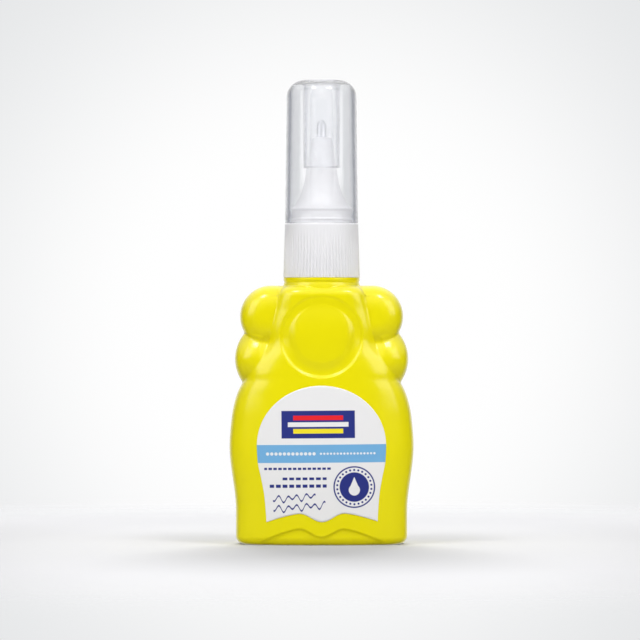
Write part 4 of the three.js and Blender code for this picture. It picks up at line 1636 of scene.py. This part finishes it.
@dataclass
class Studio:
    """The pale floor with a painted shadow round the foot, the lamps, the surroundings and the camera.

    Metres, and mm where a length is part of the floor's material.
    """

    eye_height: float = 0.0507
    eye_distance: float = 1.0
    eye_x: float = -0.00036
    view_width: float = 0.145
    sensor: float = 36.0
    aim: tuple = (0, 0, 0.05)
    floor_radius: float = 0.26
    rim_fade: tuple = (0.45, 0.98)
    floor_colour: Colour = (0.65, 0.65, 0.66)
    floor_side: Colour = (0.51, 0.51, 0.52)
    side_fade: tuple = (30.0, 95.0)
    floor_far: Colour = (0.545, 0.545, 0.555)
    far_fade: tuple = (-10.0, 140.0)
    # The painted shadow round the bottle's foot: how dark it is, its reach across and back, how far ahead of the
    # foot its middle lies, and where it fades out.
    shade: float = 0.14
    painted_shade_reach: tuple = (24.0, 42.0)
    painted_shade_ahead: float = 25.0
    painted_shade_fade: tuple = (0.9, 3.0)
    backdrop_fade: tuple = (0.036, 0.112)
    backdrop_middle: Colour = (1.0, 1.0, 1.0)
    backdrop_edge: Colour = (0.79, 0.80, 0.81)
    through_fade: tuple = (0.22, 0.65)
    through_edge: Colour = (0.20, 0.215, 0.27)
    canopy_fade: tuple = (0.05, 0.75)
    canopy_foot: Colour = (0.0, 0.0, 0.0)
    canopy_top: Colour = (1.2, 1.2, 1.2)
    rear_fade: tuple = (0.6, 0.97)
    rear_glow: Colour = (0.85, 0.85, 0.86)
    light_fade: tuple = (0.1, 0.8)
    light_low: Colour = (0.22, 0.22, 0.225)
    light_high: Colour = (0.10, 0.10, 0.105)
    softboxes: tuple = (
        Softbox("left_softbox", -57, 23.5, 0.6, 0.40, 0.41, 2.3),
        Softbox("right_softbox", 57, 23.5, 0.6, 0.40, 0.41, 2.3),
        Softbox("left_key", -38, 57, 0.6, 0.13, 0.12, 18.5),
        Softbox("right_key", 38, 57, 0.6, 0.13, 0.12, 18.5),
        Softbox("front_fill", 0, 16, 0.8, 1.00, 0.80, 0.95, mirrored=False),
        Softbox("back_softbox", 180, 41, 0.6, 0.45, 0.30, 10.5, mirrored=False, seen_through=False),
    )

    def camera(self) -> None:
        """Set up the level camera at the photograph's angle."""
        data = bpy.data.cameras.new("eye")
        data.sensor_width = self.sensor
        data.lens = self.sensor * self.eye_distance / self.view_width
        data.clip_start, data.clip_end = 0.01, 100
        eye = bpy.data.objects.new("eye", data)
        eye.location = (self.eye_x, -self.eye_distance, self.eye_height)
        eye.rotation_euler = (math.pi / 2, 0, 0)
        bpy.context.scene.collection.objects.link(eye)
        bpy.context.scene.camera = eye

    def floor(self) -> None:
        """Lay a round pale floor with a painted shadow round the bottle's foot; it fades into the surroundings at
        its rim.
        """
        deselect()
        bpy.ops.mesh.primitive_circle_add(vertices=96, radius=self.floor_radius, fill_type="NGON")
        disc = bpy.context.object
        disc.name = "floor"
        material, graph = material_graph("pale_floor")
        x, y, _ = graph.position()
        colour = graph.blend(graph.smooth(abs(x), *self.side_fade), self.floor_colour, self.floor_side)
        colour = graph.blend(graph.smooth(y, *self.far_fade), colour, self.floor_far)
        # Painted shadow: the floor's colour is darkened round the bottle's foot and ahead of it, in place of a
        # soft cast shadow.
        wide, deep = self.painted_shade_reach
        foot = graph.length(x / wide, (y + self.painted_shade_ahead) / deep)
        colour = graph.blend((1 - graph.smooth(foot, *self.painted_shade_fade)) * self.shade, colour, (0.0, 0.0, 0.0))
        paper = graph.node("ShaderNodeBsdfDiffuse", {}, {"Color": colour}).outputs[0]
        clear = graph.node("ShaderNodeBsdfTransparent", {}, {}).outputs[0]
        rim = self.floor_radius / MM
        fade = graph.smooth(graph.length(x, y), *(rim * share for share in self.rim_fade))
        graph.surface(graph.node("ShaderNodeMixShader", {}, {0: fade, 1: paper, 2: clear}).outputs[0])
        disc.data.materials.append(material)
        disc.visible_glossy = False

    def surroundings(self) -> None:
        """Make the world: a pale backdrop to look at and a soft even light."""
        world = bpy.data.worlds.new("studio")
        world.use_nodes = True
        bpy.context.scene.world = world
        graph = Graph(world.node_tree)
        x, y, z = graph.parts("Generated")
        edge = graph.math("ARCTAN2", graph.length(x, z), y)
        away = graph.smooth(edge, *self.backdrop_fade)
        backdrop = graph.blend(away, self.backdrop_middle, self.backdrop_edge)
        through = graph.blend(graph.smooth(edge, *self.through_fade), backdrop, self.through_edge)
        canopy = graph.blend(graph.smooth(z, *self.canopy_fade), self.canopy_foot, self.canopy_top)
        mirrored = graph.blend(graph.smooth(y, *self.rear_fade), canopy, self.rear_glow)
        light = graph.blend(graph.smooth(z, *self.light_fade), self.light_low, self.light_high)
        rays = graph.node("ShaderNodeLightPath", {}, {}).outputs
        colour = graph.blend(rays["Is Glossy Ray"], light, mirrored)
        colour = graph.blend(rays["Is Transmission Ray"], colour, through)
        colour = graph.blend(rays["Is Camera Ray"], colour, backdrop)
        glow = graph.node("ShaderNodeBackground", {}, {"Color": colour, "Strength": 1.0}).outputs[0]
        graph.node("ShaderNodeOutputWorld", {}, {"Surface": glow})

    def build(self) -> None:
        """Set up the whole studio."""
        bpy.context.scene.view_settings.view_transform = "Standard"
        self.camera()
        self.floor()
        self.surroundings()
        for softbox in self.softboxes:
            softbox.place(Vector(self.aim))
        log.info("studio: %d softboxes, floor radius %.2f m", len(self.softboxes), self.floor_radius)


def main() -> None:
    """Build the studio and every part of the bottle."""
    logging.basicConfig(level=logging.INFO, format="%(name)s: %(message)s")
    for part in (Studio(), Bottle(), Nozzle(), Tip(), Inside(), Cap()):
        part.build()


if __name__ == "__main__":
    main()
